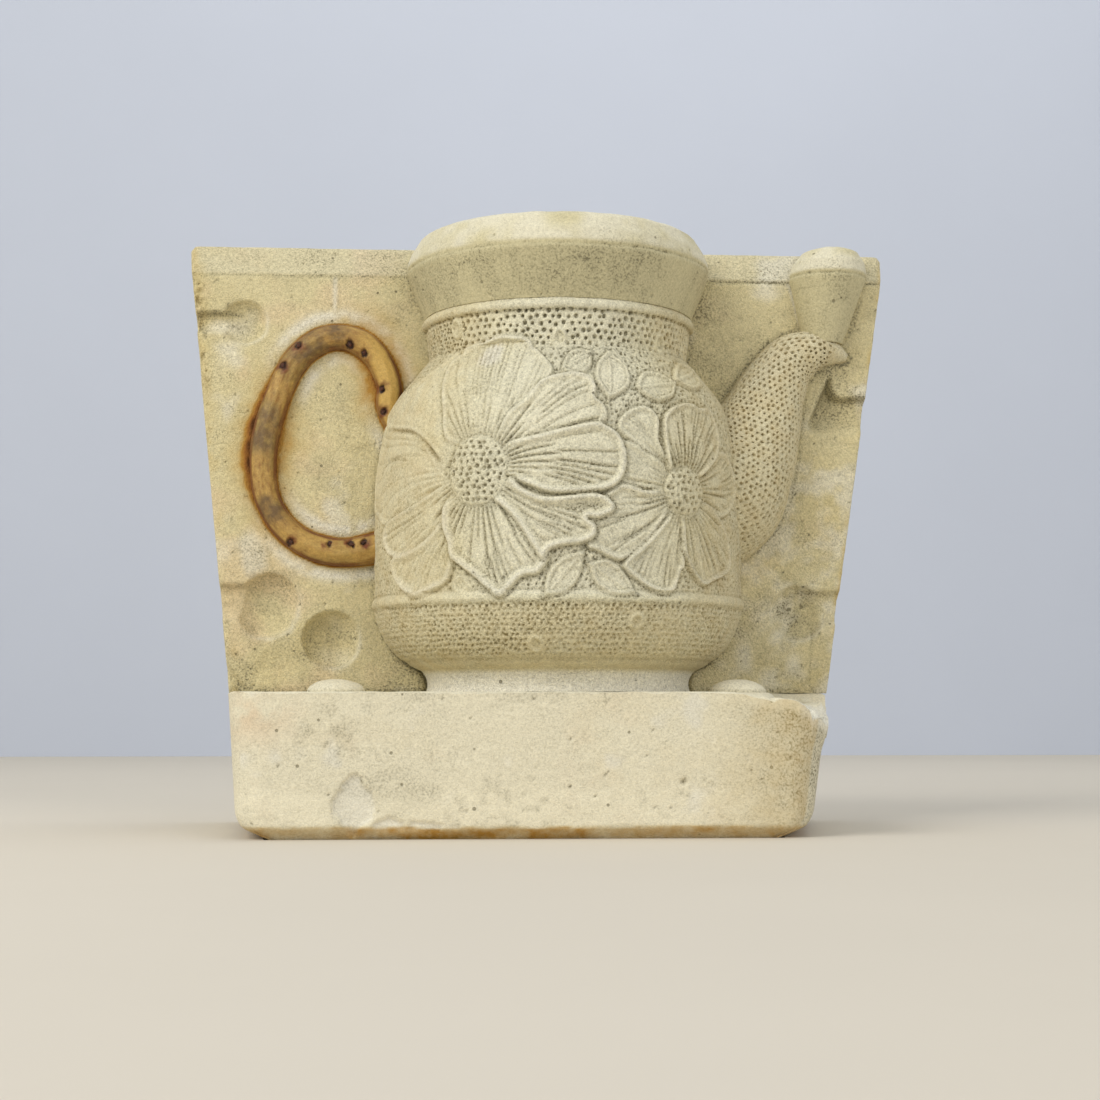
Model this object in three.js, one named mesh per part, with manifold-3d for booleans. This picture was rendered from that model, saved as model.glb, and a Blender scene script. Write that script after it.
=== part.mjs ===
// A plaster case mould for half a teapot: a base block carries an upright slab, and the slab
// carries a half teapot, its pouring spare, spout, sprue and handle, all in relief.
//
// Millimetres, +Z up. The sizes below are measured from the pot's own axis (X = 0), the slab's
// front face (Y = 0, the viewer is towards -Y) and the bench (Z = 0). The whole group is then
// shifted, so that the origin lies at the bottom centre of the object's box.

import * as THREE from 'three';
import { mergeVertices } from 'three/addons/utils/BufferGeometryUtils.js';
import { LoftGeometry } from 'three/addons/geometries/LoftGeometry.js';
import Module from 'manifold-3d';

// ---- driving dimensions ---------------------------------------------------------------------

const GAP = 0.3; // between a cut piece and the neighbour that cuts it
const FRAME_SHIFT = new THREE.Vector3(8, 32, 0);

const BASE = {
	top: 62, // height of the block
	left: -154, right: 128, // top outline where it passes under the slab's face
	front: -104, back: 40,
	frontLeft: -145.5, frontRight: 108, // the sides close in towards the front
	draft: { left: 4, right: 8, front: 2.5 }, // how far the foot of each side leans in
	chamfer: 5.5, // worn chamfer round the foot
	frontCorner: 14, backCorner: 4,
	wornFrom: 66, wornDrop: 5.5, // the top falls away towards the right front corner
};
const SLAB = {
	thickness: 40,
	top: 276,
	bottomLeft: -154.5, bottomRight: 129,
	topLeft: -176, topRight: 160,
	bevelStart: 260.5, bevelDepth: 8, // the long bevel along the top of the face
};
const POT = { foot: 62.5, neck: 62, belly: 87.5, bead: 1.2, lowerBead: 103, neckTop: 239 };
const SPARE = { bottom: 63.8, rim: 73, rimZ: 262.5, crown: 65.5, top: 278.4 };
const SPRUE = { x: 131.5, bottomZ: 228, bottom: 9, rim: 19, rimZ: 263, crown: 14, top: 277 };
const HANDLE = { depth: 7.2, halfWidth: 6.1 };
const WIRE = { radius: 1.5, y: -2.2 };
const PIN = { shank: 0.8, head: 1.4, length: 16, headSeat: -4.4, headHeight: 1.7 };
const NATCH = { radius: 13, height: 6, stem: 5, stemLength: 10, flange: 4 };
const KEY = { radius: 9, height: 6, stem: 5, stemLength: 12, y: 20 };
const ROUND = 64; // facets of a full turn on the large turned pieces

// The spout's centre line, as X, Z and radius, from inside the belly to the tip of the beak.
const SPOUT_LINE = [
	[62, 146, 33], [78, 160, 33.5], [89, 175, 27], [96.5, 190, 21.5], [103, 206, 17],
	[111, 220, 13.6], [119.5, 227, 11], [128, 228.8, 7.8], [134.5, 227.4, 4.8], [138.6, 225.8, 1.6],
];
// The handle's centre line, as X, Z and half width, from under the belly's shoulder and round.
const HANDLE_LINE = [
	[-74, 184, 5.5], [-80.5, 197, 5.8], [-80.6, 208, 6], [-85.5, 220, 6.2], [-93.5, 228, 6.4],
	[-103.5, 231, 6], [-113.5, 229, 6.2], [-123, 221.5, 6.2], [-129.8, 210.5, 6.2],
	[-134.8, 197.5, 6.3], [-138.5, 184, 6.5], [-139.7, 170, 6.4], [-138.2, 156, 6.1],
	[-132.5, 144, 6], [-123.5, 135, 6.2], [-112, 129.6, 6.6], [-99.5, 128.2, 6.6],
	[-87, 130.4, 7.2], [-74, 134, 7.4],
];
// Handle pins: place on the centre line from 0 to 1, and the side of the line that each is on.
const PINS = [
	[0.06, 3.2], [0.11, 3.2], [0.2, 3.2], [0.25, 3.2], [0.37, -3.2],
	[0.42, -3.2], [0.78, -3.2], [0.86, 3.2], [0.9, 3.2], [0.925, 3.2],
];
// Sockets in the slab's face: centre X and Z, mouth radius, depth, and the side of the slab
// (-1 left, +1 right, 0 none) that a shallow channel of its own radius and depth runs out to.
const SOCKETS = [
	{ x: -149, z: 238, mouth: 8.8, depth: 7, side: -1, channelZ: 239, channel: 6, channelDepth: 4.4 },
	{ x: -136, z: 104, mouth: 13.5, depth: 7, side: -1, channelZ: 104, channel: 9, channelDepth: 3.6 },
	{ x: -107, z: 87, mouth: 12.8, depth: 9, side: 0 },
	{ x: 133, z: 201, mouth: 11.5, depth: 8, side: 1, channelZ: 202, channel: 7, channelDepth: 4.4 },
	{ x: 115, z: 100, mouth: 13, depth: 5, side: 1, channelZ: 103, channel: 9, channelDepth: 3.4 },
];
const NATCH_PLACES = { left: [-103, -40], right: [79.5, -40] }; // X, Y on top of the base block
const KEY_PLACES = { left: -112, right: 88 }; // X under the slab
// Dowels that hold each relief piece to the slab: X, Z, radius, length in front, length behind.
const DOWELS = {
	teapot_dowel_lower: { x: 0, z: 96, radius: 5, front: 26, behind: 20, colour: 0x9b7a4d },
	teapot_dowel_upper: { x: 0, z: 196, radius: 5, front: 26, behind: 20, colour: 0x9b7a4d },
	spare_dowel: { x: 0, z: 252, radius: 4, front: 22, behind: 18, colour: 0x9b7a4d },
	spout_dowel: { x: 98, z: 188, radius: 3, front: 11, behind: 14, colour: 0x9b7a4d },
	sprue_dowel: { x: 131.5, z: 252, radius: 3, front: 8, behind: 14, colour: 0x9b7a4d },
};

const PLASTER = { color: 0xcfc59c, roughness: 0.92, metalness: 0 };
const AMBER = { color: 0xa8732e, roughness: 0.55, metalness: 0 };
const RUSTY_IRON = { color: 0x4a2a1c, roughness: 0.8, metalness: 0.5 };

// ---- solids ---------------------------------------------------------------------------------

const wasm = await Module();
wasm.setup();

// A closed three.js geometry as a manifold solid.
function solid(geometry) {
	geometry.deleteAttribute('normal');
	geometry.deleteAttribute('uv');
	const merged = mergeVertices(geometry, 1e-4);
	const index = merged.index.array;
	const kept = [];
	for (let i = 0; i < index.length; i += 3) {
		const [a, b, c] = [index[i], index[i + 1], index[i + 2]];
		if (a !== b && b !== c && c !== a) kept.push(a, b, c);
	}
	const vertProperties = new Float32Array(merged.attributes.position.array);
	const triVerts = new Uint32Array(kept);
	return new wasm.Manifold(new wasm.Mesh({ numProp: 3, vertProperties, triVerts }));
}

function geometryOf(manifold) {
	const mesh = manifold.getMesh();
	const geometry = new THREE.BufferGeometry();
	geometry.setAttribute('position', new THREE.BufferAttribute(mesh.vertProperties.slice(), 3));
	geometry.setIndex(new THREE.BufferAttribute(mesh.triVerts.slice(), 1));
	geometry.computeVertexNormals();
	return geometry;
}

function box(x0, x1, y0, y1, z0, z1) {
	const geometry = new THREE.BoxGeometry(x1 - x0, y1 - y0, z1 - z0);
	return solid(geometry.translate((x0 + x1) / 2, (y0 + y1) / 2, (z0 + z1) / 2));
}

// A solid turned about a vertical axis; the profile is a list of (radius, Z).
function turned(profile, facets = ROUND, x = 0, y = 0) {
	const points = profile.map(([radius, z]) => new THREE.Vector2(radius, z));
	return solid(new THREE.LatheGeometry(points, facets).rotateX(Math.PI / 2).translate(x, y, 0));
}

// A round bar along Y.
function bar(x, z, radius, y0, y1, facets = 16) {
	const geometry = new THREE.CylinderGeometry(radius, radius, y1 - y0, facets);
	return solid(geometry.translate(x, (y0 + y1) / 2, z));
}

// A prism along Y of an outline given in X and Z.
function prism(outline, y0, y1) {
	const shape = new THREE.Shape(outline.map(([x, z]) => new THREE.Vector2(x, z)));
	const geometry = new THREE.ExtrudeGeometry(shape, { depth: y1 - y0, bevelEnabled: false });
	return solid(geometry.rotateX(Math.PI / 2).translate(0, y1, 0));
}

const BEHIND_FACE = box(-300, 300, 0, 200, -50, 400);
const inRelief = (manifold) => manifold.subtract(BEHIND_FACE);

// Evenly spaced stations on a smooth line through (X, Z, size) points.
function stations(line, count) {
	const curve = new THREE.CatmullRomCurve3(line.map(([x, z, size]) => new THREE.Vector3(x, z, size)));
	return Array.from({ length: count + 1 }, (_, i) => {
		const point = curve.getPoint(i / count);
		const tangent = curve.getTangent(i / count).setZ(0).normalize();
		return { x: point.x, z: point.y, size: point.z, across: new THREE.Vector2(-tangent.y, tangent.x) };
	});
}

// A closed skin over rings of points, with flat ends.
function skin(rings) {
	const geometry = new LoftGeometry(rings, { capStart: true, capEnd: true });
	return solid(new THREE.BufferGeometry().copy(geometry));
}

// A loft along stations, from a section in (across, Y) that may depend on the station's size.
function loft(places, section) {
	const rings = places.map(({ x, z, size, across }) => section(size).map(
		([u, y]) => new THREE.Vector3(x + u * across.x, y, z + u * across.y),
	));
	return skin(rings);
}

// Points round an ellipse in (across, Y).
function ellipse(halfWidth, depth, centreY, count) {
	return Array.from({ length: count }, (_, i) => {
		const angle = (2 * Math.PI * i) / count;
		return [halfWidth * Math.cos(angle), centreY - depth * Math.sin(angle)];
	});
}

// ---- base block and its natches -------------------------------------------------------------

// The block's outline at one level: straight sides that close in to the front, round corners.
function baseOutline(lean, inset, z) {
	const { draft, frontCorner, backCorner } = BASE;
	const left = BASE.left + draft.left * lean + inset;
	const right = BASE.right - draft.right * lean - inset;
	const frontLeft = BASE.frontLeft + draft.left * lean + inset;
	const frontRight = BASE.frontRight - draft.right * lean - inset;
	const front = BASE.front + draft.front * lean + inset;
	const back = BASE.back - inset;
	const corners = [
		[left, back, backCorner], [frontLeft, front, frontCorner],
		[frontRight, front, frontCorner], [right, back, backCorner],
	].map(([x, y, radius]) => ({ at: new THREE.Vector2(x, y), radius }));
	const outline = [];
	corners.forEach(({ at, radius }, i) => {
		const before = corners[(i + 3) % 4].at.clone().sub(at).setLength(radius).add(at);
		const after = corners[(i + 1) % 4].at.clone().sub(at).setLength(radius).add(at);
		const arc = new THREE.QuadraticBezierCurve(before, at, after);
		arc.getPoints(6).forEach((p) => outline.push(new THREE.Vector3(p.x, p.y, z)));
	});
	return outline;
}

function baseBlock() {
	const sections = [
		baseOutline(1, BASE.chamfer, 0),
		baseOutline(1, 0, BASE.chamfer),
		baseOutline(0, 0, BASE.top),
	];
	let block = skin(sections);
	const beyond = BASE.right + 10;
	const slope = BASE.wornDrop / (BASE.frontRight - BASE.wornFrom);
	const worn = prism([
		[BASE.wornFrom, BASE.top], [beyond, BASE.top - slope * (beyond - BASE.wornFrom)],
		[beyond, BASE.top + 5], [BASE.wornFrom, BASE.top + 5],
	], BASE.front - 10, -6);
	block = block.subtract(worn);
	for (const [x, y] of Object.values(NATCH_PLACES)) block = block.subtract(natch(x, y, GAP));
	for (const x of Object.values(KEY_PLACES)) block = block.subtract(key(x, 0.5));
	return block;
}

// A domed plaster button: flange let into the block, stem below, dome above.
function natch(x, y, grow = 0) {
	const { radius, height, stem, stemLength, flange } = NATCH;
	const { top } = BASE;
	const bottom = top - flange - stemLength - grow;
	const rim = radius + grow;
	const dome = [90, 72, 54, 36, 18, 0].map((degrees) => {
		const angle = THREE.MathUtils.degToRad(degrees);
		return [rim * Math.sin(angle), top + (height + grow) * Math.cos(angle)];
	});
	return turned([
		[0, bottom], [stem + grow, bottom], [stem + grow, top - flange - grow],
		[rim, top - flange - grow], ...dome,
	], 32, x, y);
}

// ---- slab -----------------------------------------------------------------------------------

function socket({ x, z, mouth, depth, side, channelZ, channel, channelDepth }) {
	const radius = (mouth * mouth + depth * depth) / (2 * depth);
	const sphere = new THREE.SphereGeometry(radius, 28, 20).translate(x, depth - radius, z);
	let cut = solid(sphere);
	if (side !== 0) {
		const length = 60;
		const trough = new THREE.CylinderGeometry(channel, channel, length, 20).rotateZ(Math.PI / 2);
		const middle = x + (side * length) / 2;
		cut = cut.add(solid(trough.translate(middle, channelDepth - channel, channelZ)));
	}
	return cut;
}

function slab() {
	let body = prism([
		[SLAB.bottomLeft, BASE.top], [SLAB.bottomRight, BASE.top],
		[SLAB.topRight, SLAB.top], [SLAB.topLeft, SLAB.top],
	], 0, SLAB.thickness);
	const bevel = new THREE.Shape([
		new THREE.Vector2(-5, SLAB.bevelStart), new THREE.Vector2(0, SLAB.bevelStart),
		new THREE.Vector2(SLAB.bevelDepth, SLAB.top), new THREE.Vector2(SLAB.bevelDepth, SLAB.top + 5),
		new THREE.Vector2(-5, SLAB.top + 5),
	]);
	const strip = new THREE.ExtrudeGeometry(bevel, { depth: 400, bevelEnabled: false });
	strip.rotateX(Math.PI / 2).rotateZ(Math.PI / 2).translate(-200, 0, 0);
	const behindRelief = turned(spareProfile()).add(turned(sprueProfile(), 32, SPRUE.x));
	body = body.subtract(solid(strip).subtract(behindRelief));
	for (const each of SOCKETS) body = body.subtract(socket(each));
	for (const { x, z, radius, behind } of Object.values(DOWELS)) {
		body = body.subtract(bar(x, z, radius + GAP, -5, behind + GAP));
	}
	for (const { x, z } of pinPlaces()) {
		body = body.subtract(bar(x, z, PIN.shank + GAP, -5, PIN.headSeat + PIN.length + GAP, 8));
	}
	for (const x of Object.values(KEY_PLACES)) body = body.subtract(keyStem(x, GAP));
	return body;
}

// A dome under the slab that finds its place in the base block, on a stem let into the slab.
function key(x, grow = 0) {
	const rim = KEY.radius + grow;
	const dome = [0, 18, 36, 54, 72, 90].map((degrees) => {
		const angle = THREE.MathUtils.degToRad(degrees);
		return [rim * Math.sin(angle), BASE.top - (KEY.height + grow) * Math.cos(angle)];
	});
	return turned([...dome, [0, BASE.top]], 28, x, KEY.y);
}

function keyStem(x, grow = 0) {
	const top = BASE.top + KEY.stemLength + grow;
	const radius = KEY.stem + grow;
	return turned([[0, BASE.top - 1], [radius, BASE.top - 1], [radius, top], [0, top]], 28, x, KEY.y);
}

// ---- teapot, spare and sprue ----------------------------------------------------------------

// The half teapot: flared foot, round-shouldered belly, plain neck, and a bead at each band.
function potProfile(grow = 0) {
	const { foot, neck, belly, bead, lowerBead, neckTop } = POT;
	const bottom = BASE.top + GAP;
	const path = new THREE.Path();
	path.moveTo(foot, bottom);
	path.quadraticCurveTo(foot - 2, bottom + 5, foot + 2, bottom + 10);
	path.bezierCurveTo(foot + 12, 77, belly - 4, 86, belly - 0.8, lowerBead - 3);
	path.lineTo(belly - 0.6 + bead, lowerBead - 1.2);
	path.lineTo(belly - 0.6 + bead, lowerBead + 1.2);
	path.lineTo(belly - 0.5, lowerBead + 3);
	path.bezierCurveTo(belly + 1, 140, belly + 0.5, 172, 80.5, 194);
	path.bezierCurveTo(77, 204, 66, 213, neck - 0.5, 219);
	path.lineTo(neck + 1, neckTop - 6);
	path.lineTo(neck + 1.2 + bead, neckTop - 4.5);
	path.lineTo(neck + 1.2 + bead, neckTop - 2);
	path.lineTo(neck + 1.4, neckTop);
	const side = path.getPoints(9).map((p) => [p.x + grow, p.y]);
	return [[0, bottom], [side[0][0], bottom], ...side.slice(1), [0, neckTop]];
}

const potSolid = (grow = 0) => turned(potProfile(grow));

function spareProfile() {
	const { bottom, rim, rimZ, crown, top } = SPARE;
	return [
		[0, POT.neckTop], [bottom, POT.neckTop], [rim, rimZ], [rim - 0.8, rimZ + 1.4],
		[crown + 1, top - 1.6], [crown - 1.2, top], [0, top],
	];
}

function sprueProfile() {
	const { bottomZ, bottom, rim, rimZ, crown, top } = SPRUE;
	return [
		[0, bottomZ], [bottom, bottomZ], [rim, rimZ], [rim - 0.5, rimZ + 1.2],
		[crown + 0.6, top - 1.6], [crown - 1, top], [0, top],
	];
}

// ---- spout, handle, wire and pins -----------------------------------------------------------

const spoutSolid = (grow = 0) => loft(stations(SPOUT_LINE, 26), (size) => ellipse(size + grow, size + grow, 0, 28));

const handleStations = stations(HANDLE_LINE, 40);

const handleSolid = () => loft(handleStations, (size) => ellipse(size, HANDLE.depth, 0, 20));

// The groove in the handle's back that the core wire lies in.
function wireGroove() {
	const width = WIRE.radius + GAP;
	const arch = ellipse(width, width, WIRE.y, 12).slice(0, 7);
	const outline = [...arch, [-width, 1], [width, 1]];
	return loft(handleStations, () => outline);
}

const wireSolid = () => loft(handleStations, () => ellipse(WIRE.radius, WIRE.radius, WIRE.y, 10));

function pinPlaces() {
	const last = handleStations.length - 1;
	return PINS.map(([along, side]) => {
		const { x, z, across } = handleStations[Math.round(along * last)];
		return { x: x + side * across.x, z: z + side * across.y };
	});
}

// A cut brad: pointed shank and low domed head, its head towards the viewer.
function pinSolid({ x, z }) {
	const { shank, head, length, headSeat, headHeight } = PIN;
	const profile = [
		[0, headSeat - headHeight], [head * 0.7, headSeat - headHeight * 0.8], [head, headSeat - headHeight * 0.3],
		[head, headSeat], [shank, headSeat], [shank, headSeat + length - 3], [0, headSeat + length],
	].map(([radius, y]) => new THREE.Vector2(radius, y));
	return solid(new THREE.LatheGeometry(profile, 10).translate(x, 0, z));
}

function handleBody(potCutter) {
	let body = inRelief(handleSolid()).subtract(potCutter).subtract(wireGroove());
	for (const { x, z } of pinPlaces()) {
		body = body.subtract(bar(x, z, PIN.shank + GAP, -12, 5, 8));
		body = body.subtract(bar(x, z, PIN.head + GAP, -12, PIN.headSeat + GAP, 10));
	}
	return body;
}

// ---- assembly -------------------------------------------------------------------------------

const group = new THREE.Group();
group.position.copy(FRAME_SHIFT);

function add(name, manifold, look) {
	const mesh = new THREE.Mesh(geometryOf(manifold), new THREE.MeshStandardMaterial(look));
	mesh.name = name;
	group.add(mesh);
}

function withDowelHole(manifold, { x, z, radius, front }) {
	return manifold.subtract(bar(x, z, radius + GAP, -front - GAP, 5));
}

const potCutter = potSolid(GAP);
let pot = inRelief(potSolid());
pot = withDowelHole(pot, DOWELS.teapot_dowel_lower);
pot = withDowelHole(pot, DOWELS.teapot_dowel_upper);
const spare = withDowelHole(inRelief(turned(spareProfile())), DOWELS.spare_dowel);
const spout = withDowelHole(inRelief(spoutSolid()).subtract(potCutter), DOWELS.spout_dowel);
const sprueTurned = inRelief(turned(sprueProfile(), 32, SPRUE.x));
const sprue = withDowelHole(sprueTurned.subtract(spoutSolid(GAP)), DOWELS.sprue_dowel);

add('base_block', baseBlock(), PLASTER);
for (const [side, [x, y]] of Object.entries(NATCH_PLACES)) add(`base_natch_${side}`, natch(x, y), PLASTER);
add('back_slab', slab(), PLASTER);
for (const [side, x] of Object.entries(KEY_PLACES)) add(`slab_key_${side}`, key(x).add(keyStem(x)), PLASTER);
add('half_teapot', pot, PLASTER);
add('pouring_spare', spare, PLASTER);
add('spout', spout, PLASTER);
add('spout_sprue', sprue, PLASTER);
add('handle', handleBody(potCutter), AMBER);
add('handle_core_wire', wireSolid().subtract(potCutter), RUSTY_IRON);
pinPlaces().forEach((place, i) => add(`handle_pin_${i + 1}`, pinSolid(place), RUSTY_IRON));
for (const [name, { x, z, radius, front, behind, colour }] of Object.entries(DOWELS)) {
	add(name, bar(x, z, radius, -front, behind), { color: colour, roughness: 0.7, metalness: 0 });
}


export default group;
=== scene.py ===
"""Looks of a plaster case mould for a half teapot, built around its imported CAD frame.

The mould is a flat base block with a tall side case standing on it. The side case is a slab that carries, in
relief, half a teapot with flowers, its spout, the pouring spare above the neck, the sprue above the spout tip
and a brown shellacked handle form held by brads. Sizes are in millimetres until a mesh is placed.
"""
from __future__ import annotations

import logging
import math
from dataclasses import dataclass, field
from enum import Enum
from typing import Iterable, Sequence, Union

import bmesh
import bpy
import numpy as np
from mathutils import Matrix, Vector

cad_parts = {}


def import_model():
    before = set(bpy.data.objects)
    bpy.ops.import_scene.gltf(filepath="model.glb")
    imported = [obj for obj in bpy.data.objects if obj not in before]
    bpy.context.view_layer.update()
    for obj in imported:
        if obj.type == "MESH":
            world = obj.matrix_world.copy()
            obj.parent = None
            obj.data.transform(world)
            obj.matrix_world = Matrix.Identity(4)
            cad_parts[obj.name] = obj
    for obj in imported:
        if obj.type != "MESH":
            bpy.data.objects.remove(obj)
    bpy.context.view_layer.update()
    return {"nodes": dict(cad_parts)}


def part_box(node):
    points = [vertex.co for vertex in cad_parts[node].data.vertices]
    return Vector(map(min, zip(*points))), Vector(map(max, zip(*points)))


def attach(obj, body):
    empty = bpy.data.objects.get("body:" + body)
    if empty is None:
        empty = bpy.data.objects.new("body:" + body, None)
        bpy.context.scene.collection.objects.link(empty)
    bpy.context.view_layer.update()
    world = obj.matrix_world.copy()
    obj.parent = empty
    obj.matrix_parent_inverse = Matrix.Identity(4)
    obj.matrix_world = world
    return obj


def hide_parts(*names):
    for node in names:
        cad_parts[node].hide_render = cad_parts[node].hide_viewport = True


LOG = logging.getLogger("teapot_mould")
MM = 0.001

Points = Sequence[tuple[float, float]]
Values = np.ndarray
Feed = Union[bpy.types.NodeSocket, float, tuple]  # what a node's input can take

BLOCK_TOP = 62.0
SLAB_TOP = 276.0
BEVEL_START, BEVEL_DEPTH = 260.5, 8.0
SEAT = 1.2  # how far behind the slab's face the back of each raised form lies
TOP_SINK = 0.4  # how far under the slab's top a crown's back rim ends
WELD = 1e-4  # vertices nearer than this become one
TUBE_RIM = 0.99999  # from here outward a swept form's section lies on its back edges


class Body(Enum):
    """The bodies of the mould that pieces ride on."""

    BASE = "base"
    CASE = "side_case"


class Slot(Enum):
    """The material slots of the record."""

    BASE = "plaster_base"
    SLAB = "plaster_slab"
    RELIEF = "plaster_relief"
    HANDLE = "amber_handle"
    IRON = "rusty_iron"
    DOWEL = "dowel_wood"


class Edge(Enum):
    """Which side of the slab a socket's channel runs out to."""

    LEFT = -1
    NONE = 0
    RIGHT = 1


# ---------------------------------------------------------------- number helpers


def smooth(low: float, high: float, value: Values) -> Values:
    """Return 0 before low, 1 after high and a soft step between, low and high in either order."""
    t = np.clip((value - low) / (high - low), 0.0, 1.0)
    return t * t * (3.0 - 2.0 * t)


def hump(value: Values, middle: float, width: float) -> Values:
    """Return a soft bump of height 1 at middle that has died away about two widths off."""
    return np.exp(-(((value - middle) / width) ** 2))


def patchy(x: Values, y: Values, size: float, seed: int, octaves: int = 3) -> Values:
    """Return smooth random values from about -1 to 1 over a surface.

    Args:
        x: First surface coordinate in millimetres.
        y: Second surface coordinate in millimetres.
        size: Width of the broadest patches in millimetres.
        seed: Picks the pattern.
        octaves: How many finer patterns are laid over each other.

    Returns:
        One value per point.
    """
    table = np.random.default_rng(seed).uniform(-1.0, 1.0, (61, 67))
    total = np.zeros_like(x)
    share = 0.6
    for octave in range(octaves):
        scale = size / 2.13**octave
        gx = x / scale + 13.7 * octave
        gy = y / scale + 7.9 * octave
        ix = np.floor(gx).astype(int)
        iy = np.floor(gy).astype(int)
        fx = gx - ix
        fy = gy - iy
        fx = fx * fx * (3 - 2 * fx)
        fy = fy * fy * (3 - 2 * fy)
        near = table[ix % 61, iy % 67] * (1 - fx) + table[(ix + 1) % 61, iy % 67] * fx
        far = table[ix % 61, (iy + 1) % 67] * (1 - fx) + table[(ix + 1) % 61, (iy + 1) % 67] * fx
        total += share * (near * (1 - fy) + far * fy)
        share *= 0.55
    return total


def stipple(x: Values, y: Values, pitch: float, radius: float, seed: int, jitter: float = 0.2) -> Values:
    """Return how far each point is from the nearest of many staggered dots, in dot radii.

    Args:
        x: First surface coordinate in millimetres.
        y: Second surface coordinate in millimetres.
        pitch: Distance between neighbouring dots.
        radius: Mean radius of a dot.
        seed: Picks the jitter of the dots.
        jitter: How far a dot may stray, as a share of the pitch.

    Returns:
        One distance per point, 0 at a dot's middle and 1 on its rim.
    """
    table = np.random.default_rng(seed).uniform(-1.0, 1.0, (53, 47, 3))
    step = pitch * 0.866
    middle = np.floor(y / step + 0.5).astype(int)
    best = np.full_like(x, 9.0)
    for up in (-1, 0, 1):
        row = middle + up
        shift = 0.5 * (row % 2)
        column0 = np.floor(x / pitch - shift + 0.5).astype(int)
        for along in (-1, 0, 1):
            column = column0 + along
            draw = table[row % 53, column % 47]
            dx = x - (column + shift + jitter * draw[..., 0]) * pitch
            dy = y - (row + jitter * draw[..., 1]) * step
            best = np.minimum(best, np.hypot(dx, dy) / (radius * (1 + 0.28 * draw[..., 2])))
    return best


def rounded_loop(points: Points, steps: int = 6) -> Values:
    """Return a closed smooth curve through the points, steps samples to a span."""
    ring = np.array(points, float)
    before, after, beyond = np.roll(ring, 1, 0), np.roll(ring, -1, 0), np.roll(ring, -2, 0)
    parts = []
    for t in np.arange(steps) / steps:
        parts.append(
            0.5
            * (
                2 * ring
                + (after - before) * t
                + (2 * before - 5 * ring + 4 * after - beyond) * t**2
                + (3 * ring - before - 3 * after + beyond) * t**3
            )
        )
    return np.stack(parts, 1).reshape(-1, 2)


def rounded_line(points: Points, steps: int = 8) -> Values:
    """Return an open smooth curve through points of any width, steps samples to a span."""
    line = np.array(points, float)
    padded = np.vstack([2 * line[0] - line[1], line, 2 * line[-1] - line[-2]])
    parts = []
    for i in range(len(line) - 1):
        a, b, c, d = padded[i : i + 4]
        for t in np.arange(steps) / steps:
            parts.append(
                0.5
                * (2 * b + (c - a) * t + (2 * a - 5 * b + 4 * c - d) * t**2 + (3 * b - a - 3 * c + d) * t**3)
            )
    parts.append(line[-1])
    return np.array(parts)


def line_distance(line: Values, x: Values, y: Values) -> tuple[Values, Values]:
    """Return each point's distance to a line of many spans, and how far along it, from 0 to 1."""
    best = np.full_like(x, 1e9)
    along = np.zeros_like(x)
    count = len(line) - 1
    for i in range(count):
        start, span = line[i, :2], line[i + 1, :2] - line[i, :2]
        length = max(float(span @ span), 1e-9)
        t = np.clip(((x - start[0]) * span[0] + (y - start[1]) * span[1]) / length, 0, 1)
        gap = np.hypot(x - start[0] - t * span[0], y - start[1] - t * span[1])
        closer = gap < best
        best = np.where(closer, gap, best)
        along = np.where(closer, (i + t) / count, along)
    return best, along


def tube_gap(line: Values, x: Values, y: Values) -> Values:
    """Return how far each point is outside a tube whose line gives x, y and radius."""
    best = np.full_like(x, 1e9)
    for px, py, radius in line:
        best = np.minimum(best, np.hypot(x - px, y - py) - radius)
    return best


def inside_distance(loop: Values, x: Values, y: Values, margin: float) -> tuple[Values, Values]:
    """Return distances to a closed loop for the points near it.

    Args:
        loop: The closed curve.
        x: First surface coordinate in millimetres.
        y: Second surface coordinate in millimetres.
        margin: How far outside the loop's box a point still counts as near.

    Returns:
        The places of the near points, and their distances, positive inside the loop.
    """
    low, high = loop.min(0) - margin, loop.max(0) + margin
    near = np.nonzero((x > low[0]) & (x < high[0]) & (y > low[1]) & (y < high[1]))[0]
    px, py = x[near], y[near]
    gap, _ = line_distance(np.vstack([loop, loop[:1]]), px, py)
    crossings = np.zeros(len(near), int)
    for (ax, ay), (bx, by) in zip(loop, np.roll(loop, -1, 0)):
        if ay == by:
            continue
        spans = (ay > py) != (by > py)
        crossings += spans & (px < (bx - ax) * (py - ay) / (by - ay) + ax)
    return near, np.where(crossings % 2 == 1, gap, -gap)


def bezier(*points: tuple[float, float]) -> Values:
    """Return samples of one cubic curve from its four control points."""
    t = np.linspace(0, 1, 40)[:, None]
    a, b, c, d = (np.array(p, float) for p in points)
    return a * (1 - t) ** 3 + 3 * b * t * (1 - t) ** 2 + 3 * c * t**2 * (1 - t) + d * t**3


def even_steps(line: Values, step: float) -> Values:
    """Return the same line cut into equal steps of about the given length."""
    lengths = np.concatenate([[0], np.cumsum(np.hypot(*np.diff(line[:, :2], axis=0).T))])
    count = max(2, int(round(lengths[-1] / step)))
    places = np.linspace(0, lengths[-1], count + 1)
    return np.stack([np.interp(places, lengths, line[:, i]) for i in range(line.shape[1])], 1)


# ---------------------------------------------------------------- mesh helpers


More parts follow.
